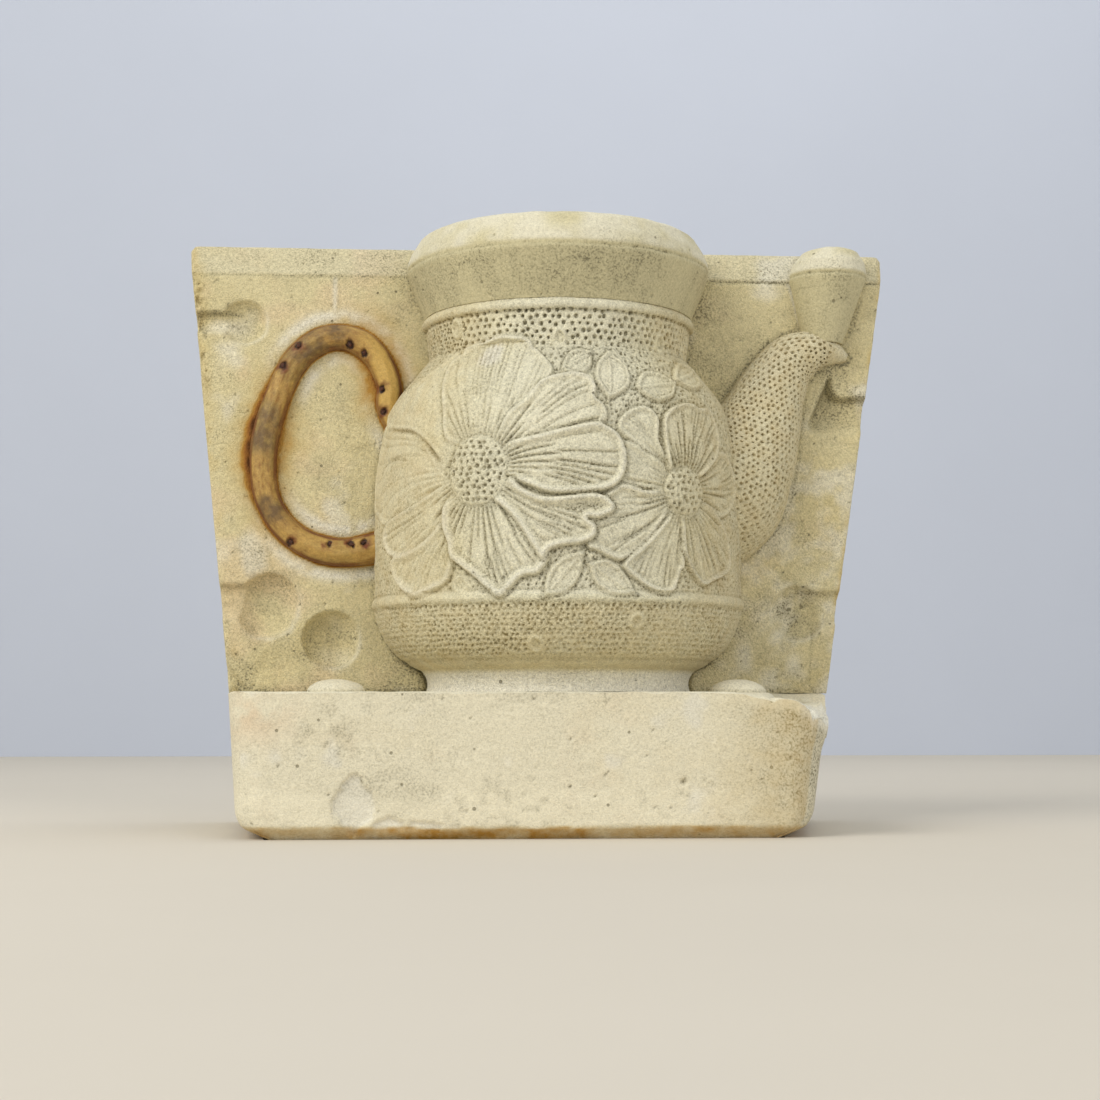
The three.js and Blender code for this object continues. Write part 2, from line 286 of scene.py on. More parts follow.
@dataclass(frozen=True)
class Datum:
    """Where the teapot's axis and the slab's face are in the frame.

    The builders work from this corner: x from the pot axis, y from the slab face, z from the bench.
    """

    axis_x: float
    face_y: float

    @classmethod
    def from_frame(cls) -> Datum:
        """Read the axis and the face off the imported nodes."""
        low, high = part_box("half_teapot")
        return cls((low[0] + high[0]) / 2 / MM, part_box("back_slab")[0][1] / MM)

    def centre(self, node: str) -> tuple[float, float, float]:
        """Return the middle of a node, in the drawing's millimetres."""
        low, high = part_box(node)
        x, y, z = ((a + b) / 2 / MM for a, b in zip(low, high))
        return x - self.axis_x, y - self.face_y, z

    def shape(self, bm: bmesh.types.BMesh, points: Values) -> None:
        """Move every vertex to its point, given in millimetres from the datum."""
        placed = (points + np.array([self.axis_x, self.face_y, 0.0])) * MM
        for vert, point in zip(bm.verts, placed):
            vert.co = point


def flat_grid(columns: int, rows: int) -> tuple[bmesh.types.BMesh, Values, Values]:
    """Return a grid of quads and each vertex's place across and up it, from 0 to 1."""
    bm = bmesh.new()
    bmesh.ops.create_grid(bm, x_segments=columns, y_segments=rows, size=1.0)
    at = spots(bm)
    return bm, (at[:, 0] + 1) / 2, (at[:, 1] + 1) / 2


def spots(bm: bmesh.types.BMesh) -> Values:
    """Return where every vertex is."""
    return np.array([vert.co for vert in bm.verts])


def back_rim(across: Values) -> Values:
    """Return which vertices of a half form lie on its two back edges."""
    return np.abs(across - 0.5) > 0.4999


def turned(
    profile: Iterable[tuple[float, float, float]], axis: tuple[float, float, float], steps: int
) -> bmesh.types.BMesh:
    """Spin a profile that starts and ends on its axis into a closed solid.

    Args:
        profile: The points of the profile, in order.
        axis: The direction of the axis through the origin.
        steps: How many steps a full turn takes.

    Returns:
        The solid.
    """
    bm = bmesh.new()
    verts = [bm.verts.new(point) for point in profile]
    edges = [bm.edges.new(pair) for pair in zip(verts, verts[1:])]
    bmesh.ops.spin(
        bm, geom=verts + edges, axis=axis, cent=(0, 0, 0), angle=2 * math.pi, steps=steps, use_merge=True
    )
    bmesh.ops.remove_doubles(bm, verts=bm.verts, dist=WELD)
    bmesh.ops.recalc_face_normals(bm, faces=bm.faces)
    return bm


def close_half(bm: bmesh.types.BMesh, columns: int, rows: int) -> None:
    """Close a grid that was bent to a half form: its first and last rows, then its flat back."""
    verts = list(bm.verts)
    first, last = verts[: columns + 1], verts[rows * (columns + 1) :]
    for row in (first, last):
        bmesh.ops.contextual_create(bm, geom=row)
    rim = [edge for edge in bm.edges if edge.is_boundary]
    bmesh.ops.contextual_create(bm, geom=rim)
    bmesh.ops.recalc_face_normals(bm, faces=bm.faces)


def block_grid(columns: int, rows: int, depths: Iterable[float]) -> tuple[bmesh.types.BMesh, Values]:
    """Return a closed box with a fine front, its sides cut at the given depths.

    Args:
        columns: Quads across the front.
        rows: Quads up the front.
        depths: Depth of each ring of the sides behind the front, growing.

    Returns:
        The bmesh, and its vertices as across 0 to 1, depth, and up 0 to 1.
    """
    bm = bmesh.new()
    bmesh.ops.create_grid(bm, x_segments=columns, y_segments=rows, size=0.5)
    upright = Matrix.Rotation(math.pi / 2, 4, "X")
    bmesh.ops.transform(bm, matrix=Matrix.Translation((0.5, 0, 0.5)) @ upright, verts=bm.verts)
    ring = [edge for edge in bm.edges if edge.is_boundary]
    here = 0.0
    for depth in depths:
        grown = bmesh.ops.extrude_edge_only(bm, edges=ring)["geom"]
        ring = [item for item in grown if isinstance(item, bmesh.types.BMEdge) and item.is_boundary]
        moved = [item for item in grown if isinstance(item, bmesh.types.BMVert)]
        bmesh.ops.translate(bm, vec=(0, depth - here, 0), verts=moved)
        here = depth
    bmesh.ops.contextual_create(bm, geom=ring)
    bmesh.ops.recalc_face_normals(bm, faces=bm.faces)
    return bm, spots(bm)


def round_off(points: Values, low: Values, high: Values, radius: Values) -> Values:
    """Return the points of a box with its edges rounded to a radius that may vary."""
    reach = radius[:, None]
    inner = np.clip(points, low + reach, high - reach)
    out = points - inner
    length = np.linalg.norm(out, axis=1, keepdims=True)
    return np.where(length > reach, inner + out * reach / np.maximum(length, 1e-9), points)


def place(
    name: str,
    bm: bmesh.types.BMesh,
    body: Body,
    material: bpy.types.Material,
    stands_for: Sequence[str],
    marks: dict[str, Values] | None = None,
    crease: float = 55.0,
) -> bpy.types.Object:
    """Make an object of a finished bmesh, dress it and hang it on its body.

    Args:
        name: The piece's name.
        bm: Its closed mesh, in the frame and in metres. It is freed.
        body: The body it rides on.
        material: Its finish.
        stands_for: The CAD nodes it replaces.
        marks: Values for each vertex that its finish reads, by name.
        crease: The angle in degrees past which an edge stays sharp.

    Returns:
        The new object.
    """
    limit = math.radians(crease)
    for face in bm.faces:
        face.smooth = True
    for edge in bm.edges:
        if edge.calc_face_angle(0.0) > limit:
            edge.smooth = False
    mesh = bpy.data.meshes.new(name)
    bm.to_mesh(mesh)
    bm.free()
    for label, values in (marks or {}).items():
        layer = mesh.attributes.new(label, "FLOAT", "POINT")
        layer.data.foreach_set("value", np.ascontiguousarray(values, np.float32))
    mesh.materials.append(material)
    piece = bpy.data.objects.new(name, mesh)
    bpy.context.scene.collection.objects.link(piece)
    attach(piece, body.value)
    if stands_for:
        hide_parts(*stands_for)
    LOG.info("%s: %d faces on %s", name, len(mesh.polygons), body.value)
    return piece


# ---------------------------------------------------------------- finishes


class Web:
    """A node tree with short calls to add nodes and join them."""

    def __init__(self, tree: bpy.types.NodeTree) -> None:
        """Keep the tree."""
        self.tree = tree

    def add(
        self, kind: str, inputs: dict | None = None, out: int | str = 0, **settings
    ) -> bpy.types.NodeSocket:
        """Add a node and return one of its outputs.

        Args:
            kind: The node's type without its ShaderNode prefix.
            inputs: Values or sockets for its inputs, by name or number.
            out: The output to return, by name or number.
            settings: The node's own settings.

        Returns:
            The output socket.
        """
        node = self.tree.nodes.new("ShaderNode" + kind)
        for label, value in settings.items():
            setattr(node, label, value)
        self.feed(node, inputs or {})
        return node.outputs[out] if len(node.outputs) else node

    def feed(self, node: bpy.types.Node, inputs: dict) -> None:
        """Give a node its inputs: sockets are linked, plain values are set.

        Args:
            node: The node to feed.
            inputs: Values or sockets, by the name or number of the input.
        """
        for key, value in inputs.items():
            if isinstance(value, bpy.types.NodeSocket):
                self.tree.links.new(value, node.inputs[key])
            else:
                node.inputs[key].default_value = value

    def shade(self, colour: Feed, tone: bpy.types.NodeSocket) -> bpy.types.NodeSocket:
        """Return a colour multiplied by a grey tone."""
        return self.mix(1.0, colour, self.add("CombineColor", {0: tone, 1: tone, 2: tone}), "MULTIPLY")

    def math(self, kind: str, first: Feed, second: Feed = 0.5, clamp: bool = False) -> bpy.types.NodeSocket:
        """Return the result of one sum on two values or sockets."""
        return self.add("Math", {0: first, 1: second}, operation=kind, use_clamp=clamp)

    def spread(
        self, value: Feed, low: float, high: float, to_low: float = 0.0, to_high: float = 1.0
    ) -> bpy.types.NodeSocket:
        """Return the value, spread from one range to another and kept in it."""
        keys = {"Value": value, "From Min": low, "From Max": high, "To Min": to_low, "To Max": to_high}
        return self.add("MapRange", keys)

    def mix(self, amount: Feed, first: Feed, second: Feed, blend: str = "MIX") -> bpy.types.NodeSocket:
        """Return two colours mixed by an amount."""
        colours = [tuple(c) + (1.0,) if isinstance(c, tuple) else c for c in (first, second)]
        node = self.tree.nodes.new("ShaderNodeMix")
        node.data_type = "RGBA"
        node.blend_type = blend
        self.feed(node, {0: amount, 6: colours[0], 7: colours[1]})
        return node.outputs[2]

    def noise(
        self, vector: bpy.types.NodeSocket, scale: float, detail: float = 3.0, rough: float = 0.55
    ) -> bpy.types.NodeSocket:
        """Return a noise value from 0 to 1."""
        return self.add("TexNoise", {"Vector": vector, "Scale": scale, "Detail": detail, "Roughness": rough})

    def mark(self, name: str) -> bpy.types.NodeSocket:
        """Return a value painted on the mesh."""
        return self.add("Attribute", out="Fac", attribute_name=name, attribute_type="GEOMETRY")


def new_group(name: str, inputs: dict[str, tuple[str, object]], outputs: dict[str, str]) -> tuple:
    """Start a shader node group.

    Args:
        name: The group's name.
        inputs: Kind and default of each input socket, by name.
        outputs: Kind of each output socket, by name.

    Returns:
        The tree, a web on it, its input node and its output node.
    """
    tree = bpy.data.node_groups.new(name, "ShaderNodeTree")
    for label, (kind, default) in inputs.items():
        socket = tree.interface.new_socket(label, in_out="INPUT", socket_type=kind)
        if default is not None:
            socket.default_value = default
    for label, kind in outputs.items():
        tree.interface.new_socket(label, in_out="OUTPUT", socket_type=kind)
    return tree, Web(tree), tree.nodes.new("NodeGroupInput").outputs, tree.nodes.new("NodeGroupOutput").inputs


FLOAT, VECTOR, COLOUR = "NodeSocketFloat", "NodeSocketVector", "NodeSocketColor"


@dataclass
class SharedEffects:
    """The node groups that several finishes share: grain, blotches, pinholes, and grime with painted shade.
    """

    groups: dict[str, bpy.types.NodeTree] = field(default_factory=dict)

    def build(self) -> None:
        """Build each group once."""
        self.groups["grain"] = self._grain()
        self.groups["blotches"] = self._blotches()
        self.groups["pinholes"] = self._pinholes()
        self.groups["grime_and_shade"] = self._grime_and_shade()

    def use(self, web: Web, name: str, inputs: dict, out: str) -> bpy.types.NodeSocket:
        """Place a group in a finish and return one of its outputs."""
        node = web.tree.nodes.new("ShaderNodeGroup")
        node.node_tree = self.groups[name]
        web.feed(node, inputs)
        return node.outputs[out]

    @staticmethod
    def _grain() -> bpy.types.NodeTree:
        """Sandy grain: fine specks over a slightly coarser tooth."""
        tree, web, given, out = new_group(
            "sandy_grain", {"Vector": (VECTOR, None), "Scale": (FLOAT, 1500.0)}, {"Grain": FLOAT}
        )
        fine = web.add("TexNoise", {"Vector": given["Vector"], "Scale": given["Scale"], "Detail": 2.0})
        half = web.math("MULTIPLY", given["Scale"], 0.42)
        coarse = web.add("TexNoise", {"Vector": given["Vector"], "Scale": half, "Detail": 3.0})
        both = web.math("ADD", web.math("MULTIPLY", fine, 0.6), web.math("MULTIPLY", coarse, 0.4))
        tree.links.new(web.spread(both, 0.32, 0.68), out["Grain"])
        return tree

    @staticmethod
    def _blotches() -> bpy.types.NodeTree:
        """Soft clouds of colour, as plaster dries unevenly."""
        tree, web, given, out = new_group(
            "damp_blotches",
            {"Vector": (VECTOR, None), "Scale": (FLOAT, 20.0), "Cover": (FLOAT, 0.5)},
            {"Mask": FLOAT},
        )
        cloud = web.add(
            "TexNoise", {"Vector": given["Vector"], "Scale": given["Scale"], "Detail": 5.0, "Roughness": 0.6}
        )
        low = web.math("SUBTRACT", 0.78, web.math("MULTIPLY", given["Cover"], 0.5))
        part = web.math("DIVIDE", web.math("SUBTRACT", cloud, low), 0.22, clamp=True)
        tree.links.new(part, out["Mask"])
        return tree

    @staticmethod
    def _pinholes() -> bpy.types.NodeTree:
        """Scattered pinholes left by air in the plaster."""
        tree, web, given, out = new_group(
            "pinholes",
            {"Vector": (VECTOR, None), "Scale": (FLOAT, 220.0), "Share": (FLOAT, 0.1)},
            {"Mask": FLOAT},
        )
        node = tree.nodes.new("ShaderNodeTexVoronoi")
        web.feed(node, {"Vector": given["Vector"], "Scale": given["Scale"]})
        chance = web.add("SeparateColor", {"Color": node.outputs["Color"]}, out=0)
        chosen = web.math("LESS_THAN", chance, given["Share"])
        size = web.add("SeparateColor", {"Color": node.outputs["Color"]}, out=1)
        reach = web.math("ADD", 0.08, web.math("MULTIPLY", size, 0.16))
        near = web.math("SUBTRACT", 1.0, web.math("DIVIDE", node.outputs["Distance"], reach), clamp=True)
        hole = web.spread(near, 0.0, 0.35)
        tree.links.new(web.math("MULTIPLY", hole, chosen), out["Mask"])
        return tree

    @staticmethod
    def _grime_and_shade() -> bpy.types.NodeTree:
        """Grey-green dirt that sits in hollows and breaks up at its edge; the mark it reads also carries
        painted shade.
        """
        tree, web, given, out = new_group(
            "hollow_grime_and_shade",
            {"Vector": (VECTOR, None), "Grime and shade": (FLOAT, 0.0), "Dusting": (FLOAT, 0.1)},
            {"Mask": FLOAT},
        )
        broad = web.add(
            "TexNoise", {"Vector": given["Vector"], "Scale": 45.0, "Detail": 4.0, "Roughness": 0.65}
        )
        fine = web.add(
            "TexNoise", {"Vector": given["Vector"], "Scale": 1050.0, "Detail": 1.5, "Roughness": 0.5}
        )
        broken = web.spread(fine, 0.36, 0.62, 0.55, 1.2)
        patch = web.spread(broad, 0.35, 0.7, 0.65, 1.15)
        sunk = web.math("MULTIPLY", web.math("MULTIPLY", given["Grime and shade"], broken), patch)
        dusty = web.math("MULTIPLY", web.spread(broad, 0.46, 0.72, 0.12, 1.0), given["Dusting"])
        cover = web.math("ADD", dusty, web.math("MULTIPLY", given["Grime and shade"], 0.5))
        specks = web.math("MULTIPLY", cover, web.spread(fine, 0.53, 0.64))
        tree.links.new(web.math("ADD", sunk, specks, clamp=True), out["Mask"])
        return tree


def start_material(name: str) -> tuple[bpy.types.Material, Web, bpy.types.Node, bpy.types.NodeSocket]:
    """Return a new material, a web on it, its Principled shader and its object coordinates."""
    material = bpy.data.materials.new(name)
    material.use_nodes = True
    web = Web(material.node_tree)
    shader = material.node_tree.nodes["Principled BSDF"]
    return material, web, shader, web.add("TexCoord", out="Object")


@dataclass(frozen=True)
class PlasterFinish:
    """Old casting plaster: cream, sandy, blotched, dirty in its hollows and stained by rust; its dark, pale
    and brown marks also carry painted shade and painted highlights.
    """

    name: str
    cream: tuple[float, float, float]
    ochre: tuple[float, float, float]
    chalk_and_highlight: tuple[float, float, float] = (0.80, 0.76, 0.63)
    peach: tuple[float, float, float] = (0.72, 0.53, 0.34)
    grime_and_shade: tuple[float, float, float] = (0.17, 0.15, 0.085)
    ochre_cover: float = 0.45
    peach_amount: float = 0.3
    dusting: float = 0.25
    grain_scale: float = 1500.0
    grain_bump: float = 0.5
    grain_dark: float = 0.78
    hole_share: float = 0.06

    def build(self, effects: SharedEffects) -> bpy.types.Material:
        """Return the material."""
        material, web, shader, here = start_material(self.name)
        grain = effects.use(web, "grain", {"Vector": here, "Scale": self.grain_scale}, "Grain")
        clouds = effects.use(
            web, "blotches", {"Vector": here, "Scale": 16.0, "Cover": self.ochre_cover}, "Mask"
        )
        patches = effects.use(web, "blotches", {"Vector": here, "Scale": 34.0, "Cover": 0.42}, "Mask")
        holes = effects.use(
            web, "pinholes", {"Vector": here, "Scale": 230.0, "Share": self.hole_share}, "Mask"
        )
        # the dark mark holds real dirt and painted shade alike
        sunk = {"Vector": here, "Grime and shade": web.mark("grime_and_shade"), "Dusting": self.dusting}
        dirt_and_shade = effects.use(web, "grime_and_shade", sunk, "Mask")
        colour = web.mix(web.math("MULTIPLY", clouds, 0.75), self.cream, self.ochre)
        colour = web.mix(web.math("MULTIPLY", patches, self.peach_amount), colour, self.peach)
        colour = web.mix(web.mark("peach"), colour, self.peach)
        # the pale mark holds whiter, rubbed plaster and painted highlights alike
        colour = web.mix(web.mark("chalk_and_highlight"), colour, self.chalk_and_highlight)
        speck = web.spread(grain, 0.0, 1.0, self.grain_dark, 2.0 - self.grain_dark)
        colour = web.shade(colour, speck)
        colour = web.mix(web.math("MULTIPLY", dirt_and_shade, 0.92), colour, self.grime_and_shade)
        colour = web.mix(web.math("MULTIPLY", holes, 0.7), colour, self.grime_and_shade)
        colour = self._rust(web, here, colour)
        sandy = web.math("SUBTRACT", grain, web.math("MULTIPLY", holes, 2.5))
        bump = web.add("Bump", {"Strength": self.grain_bump, "Distance": 0.0004, "Height": sandy})
        web.tree.links.new(colour, shader.inputs["Base Color"])
        web.tree.links.new(web.spread(grain, 0.0, 1.0, 0.82, 0.96), shader.inputs["Roughness"])
        web.tree.links.new(bump, shader.inputs["Normal"])
        shader.inputs["Specular IOR Level"].default_value = 0.25
        return material

    @staticmethod
    def _rust(web: Web, here: bpy.types.NodeSocket, colour: bpy.types.NodeSocket) -> bpy.types.NodeSocket:
        """Return the colour with the soaked-in brown stain laid over it; in places this mark is painted
        shade.
        """
        uneven = web.spread(web.noise(here, 130.0, 4.0), 0.3, 0.7, 0.6, 1.3)
        soak = web.math("MULTIPLY", web.mark("stain_and_shade"), uneven, clamp=True)
        ramp = web.tree.nodes.new("ShaderNodeValToRGB")
        ramp.color_ramp.elements[0].color = (0.60, 0.44, 0.13, 1)
        ramp.color_ramp.elements[1].color = (0.12, 0.045, 0.012, 1)
        for place_on, tone in ((0.35, (0.48, 0.27, 0.055, 1)), (0.65, (0.36, 0.15, 0.03, 1))):
            ramp.color_ramp.elements.new(place_on).color = tone
        web.tree.links.new(soak, ramp.inputs[0])
        return web.mix(web.spread(soak, 0.0, 0.40), colour, ramp.outputs[0])


@dataclass(frozen=True)
class AmberFinish:
    """Shellac-soaked plaster handle: amber streaked lengthwise, browner at its edges, pitted with rust."""

    name: str
    amber: tuple[float, float, float] = (0.42, 0.25, 0.067)
    olive: tuple[float, float, float] = (0.29, 0.19, 0.055)
    brown: tuple[float, float, float] = (0.16, 0.05, 0.010)
    honey: tuple[float, float, float] = (0.62, 0.40, 0.105)
    smoke: tuple[float, float, float] = (0.165, 0.098, 0.037)
    scab: tuple[float, float, float] = (0.17, 0.045, 0.011)
    pit: tuple[float, float, float] = (0.035, 0.012, 0.006)

    def build(self, effects: SharedEffects) -> bpy.types.Material:
        """Return the material."""
        material, web, shader, here = start_material(self.name)
        along, across = web.mark("along"), web.mark("across")
        strip = web.add(
            "CombineXYZ", {0: web.math("MULTIPLY", along, 0.35), 1: web.math("MULTIPLY", across, 6.0)}
        )
        streaks = web.noise(strip, 0.55, 5.0, 0.65)
        slow = web.noise(here, 42.0, 4.0, 0.6)
        grain = effects.use(web, "grain", {"Vector": here, "Scale": 1300.0}, "Grain")
        colour = web.mix(web.spread(slow, 0.44, 0.57), self.amber, self.olive)
        colour = web.mix(web.spread(streaks, 0.50, 0.72, 0.0, 0.7), colour, self.brown)
        colour = web.mix(web.spread(streaks, 0.28, 0.46, 0.6, 0.0), colour, self.honey)
        cloudy = web.spread(web.noise(here, 170.0, 4.0), 0.35, 0.62)
        colour = web.mix(web.math("MULTIPLY", web.mark("smoke"), cloudy), colour, self.smoke)
        colour = web.mix(web.math("MULTIPLY", web.mark("honeyed"), 0.8), colour, self.honey)
        colour = web.mix(web.mark("edge"), colour, self.brown)
        colour = web.mix(web.math("MULTIPLY", web.mark("scab"), cloudy), colour, self.scab)
        speck = web.spread(grain, 0.0, 1.0, 0.80, 1.15)
        colour = web.shade(colour, speck)
        colour = web.mix(web.mark("pit"), colour, self.pit)
        relief = web.math("ADD", grain, web.math("MULTIPLY", streaks, 1.6))
        bump = web.add("Bump", {"Strength": 0.35, "Distance": 0.0004, "Height": relief})
        web.tree.links.new(colour, shader.inputs["Base Color"])
        web.tree.links.new(web.spread(streaks, 0.3, 0.7, 0.48, 0.72), shader.inputs["Roughness"])
        web.tree.links.new(bump, shader.inputs["Normal"])
        shader.inputs["Specular IOR Level"].default_value = 0.4
        return material


@dataclass(frozen=True)
class IronFinish:
    """Rusted iron wire and brads."""

    name: str
    bare: tuple[float, float, float] = (0.07, 0.045, 0.035)
    rust: tuple[float, float, float] = (0.115, 0.032, 0.011)

    def build(self, effects: SharedEffects) -> bpy.types.Material:
        """Return the material."""
        material, web, shader, here = start_material(self.name)
        grain = effects.use(web, "grain", {"Vector": here, "Scale": 2400.0}, "Grain")
        flakes = web.spread(web.noise(here, 900.0, 4.0), 0.38, 0.6)
        colour = web.mix(flakes, self.bare, self.rust)
        bump = web.add(
            "Bump", {"Strength": 0.6, "Distance": 0.0003, "Height": web.math("ADD", grain, flakes)}
        )
        web.tree.links.new(colour, shader.inputs["Base Color"])
        web.tree.links.new(web.spread(flakes, 0.0, 1.0, 0.45, 0.9), shader.inputs["Roughness"])
        web.tree.links.new(web.spread(flakes, 0.0, 1.0, 0.75, 0.0), shader.inputs["Metallic"])
        web.tree.links.new(bump, shader.inputs["Normal"])
        return material


@dataclass(frozen=True)
class DowelFinish:
    """Turned hardwood dowel with its grain along the piece."""

    name: str
    light: tuple[float, float, float] = (0.47, 0.31, 0.16)
    dark: tuple[float, float, float] = (0.24, 0.13, 0.055)

    def build(self, effects: SharedEffects) -> bpy.types.Material:
        """Return the material."""
        material, web, shader, here = start_material(self.name)
        long = web.add("Mapping", {"Vector": here, "Scale": (1.0, 0.08, 1.0)})
        rings = web.noise(long, 900.0, 4.0, 0.6)
        grain = effects.use(web, "grain", {"Vector": long, "Scale": 2200.0}, "Grain")
        colour = web.mix(web.spread(rings, 0.35, 0.65), self.light, self.dark)
        bump = web.add("Bump", {"Strength": 0.3, "Distance": 0.0002, "Height": web.math("ADD", rings, grain)})
        web.tree.links.new(colour, shader.inputs["Base Color"])
        web.tree.links.new(web.spread(rings, 0.0, 1.0, 0.55, 0.75), shader.inputs["Roughness"])
        web.tree.links.new(bump, shader.inputs["Normal"])
        return material


@dataclass
class Finishes:
    """All the finishes of the mould, built once."""

    base: bpy.types.Material
    slab: bpy.types.Material
    relief: bpy.types.Material
    spare: bpy.types.Material
    amber: bpy.types.Material
    iron: bpy.types.Material
    dowel: bpy.types.Material

    @classmethod
    def build(cls) -> Finishes:
        """Build the shared effects, then each finish."""
        effects = SharedEffects()
        effects.build()
        plaster = {
            "base": PlasterFinish(
                "base_plaster", cream=(0.80, 0.735, 0.545), ochre=(0.76, 0.665, 0.45), peach_amount=0.22,
                dusting=0.16,
                hole_share=0.05, grain_dark=0.86,
            ),
            "slab": PlasterFinish(
                "slab_plaster", cream=(0.66, 0.575, 0.335), ochre=(0.59, 0.485, 0.235), ochre_cover=0.62,
                peach_amount=0.22,
                dusting=0.5, grain_bump=0.9, grain_dark=0.74,
            ),
            "relief": PlasterFinish(
                "relief_plaster", cream=(0.74, 0.69, 0.49), ochre=(0.67, 0.60, 0.37), peach_amount=0.12,
                dusting=0.45,
                grain_bump=1.0, grain_dark=0.70,
            ),
            "spare": PlasterFinish(
                "spare_plaster", cream=(0.59, 0.525, 0.315), ochre=(0.52, 0.44, 0.23), peach_amount=0.12,
                dusting=0.45,
                hole_share=0.03, grain_dark=0.84,
            ),
        }
        made = {key: finish.build(effects) for key, finish in plaster.items()}
        return cls(
            amber=AmberFinish("amber_handle_form").build(effects),
            iron=IronFinish("rusted_iron").build(effects),
            dowel=DowelFinish("hardwood_dowel").build(effects),
            **made,
        )


# ---------------------------------------------------------------- outlines on the slab


@dataclass(frozen=True)
class CaseOutlines:
    """Where each raised form meets the slab face, shared by the forms and by the dirt and painted shadow
    round them.
    """

    pot_wall: Values
    spare_wall: tuple[tuple[float, float], ...]
    spout_line: Values
    handle_line: Values
    sprue_x: float = 131.5
    sprue_wall: tuple[tuple[float, float], ...] = (
        (9.6, 230.5), (19.0, 263.0), (17.3, 269.5), (13.6, 274.8), (9.5, 277.0),
    )

    @classmethod
    def build(cls) -> CaseOutlines:
        """Work out the outlines from the teapot's drawing."""
        foot = bezier((62.5, 62.3), (61.0, 65.6), (61.5, 69.3), (64.5, 72.3))
        shoulder = bezier((64.5, 72.3), (76.5, 77.0), (83.5, 86.0), (86.7, 100.0))
        bead = np.array([(87.6, 101.0), (88.1, 102.4), (88.1, 103.6), (87.6, 105.0), (87.0, 106.0)])
        belly = bezier((87.0, 106.0), (88.5, 140.0), (88.0, 172.0), (80.5, 194.0))
        collar = bezier((80.5, 194.0), (77.0, 204.0), (66.0, 213.0), (61.5, 219.0))
        neck = np.array(
            [(63.0, 233.0), (63.9, 234.2), (64.4, 235.2), (64.4, 236.4), (63.9, 237.6), (63.4, 239.0)]
        )
        wall = np.vstack([foot, shoulder[1:], bead, belly[1:], collar[1:], neck])
        spout = rounded_line(
            (
                (62, 146, 33), (78, 160, 33.5), (89, 175, 27), (96.5, 190, 21.5), (103, 206, 17),
                (111, 220, 13.6), (119.8, 225.8, 11.3), (127.6, 227.2, 8.6), (134.6, 225.8, 5.4), (140.2,
                223.8, 1.9),
            )
        )
        handle = rounded_line(
            (
                (-74, 184, 5.5), (-80.5, 197, 5.8), (-80.6, 208, 6), (-85.5, 220, 6.2), (-93.5, 228, 6.4),
                (-103.5, 231, 6), (-113.5, 229, 6.2), (-123, 221.5, 6.2), (-129.8, 210.5, 6.2),
                (-134.8, 197.5, 6.3), (-138.5, 184, 6.5), (-139.7, 170, 6.4), (-138.2, 156, 6.1),
                (-132.5, 144, 6), (-123.5, 135, 6.2), (-112, 129.6, 6.6), (-99.5, 128.2, 6.6),
                (-87, 130.4, 7.2), (-74, 134, 7.4),
            )
        )
        return cls(
            wall, ((63.8, 239.0), (73.0, 262.5), (70.5, 269.5), (65.8, 277.2), (64.6, 278.4)), spout, handle
        )

    def pot_gap(self, x: Values, z: Values) -> Values:
        """Return how far outside the pot and spare a point of the face is."""
        wall = np.vstack([self.pot_wall, np.array(self.spare_wall)])
        return np.abs(x) - np.interp(z, wall[:, 1], wall[:, 0])

    def sprue_gap(self, x: Values, z: Values) -> Values:
        """Return how far outside the sprue a point of the face is."""
        wall = np.array(self.sprue_wall)
        below = np.maximum(wall[0, 1] - z, 0.0)
        return np.hypot(np.maximum(np.abs(x - self.sprue_x) - np.interp(z, wall[:, 1], wall[:, 0]), 0), below)


# ---------------------------------------------------------------- base block


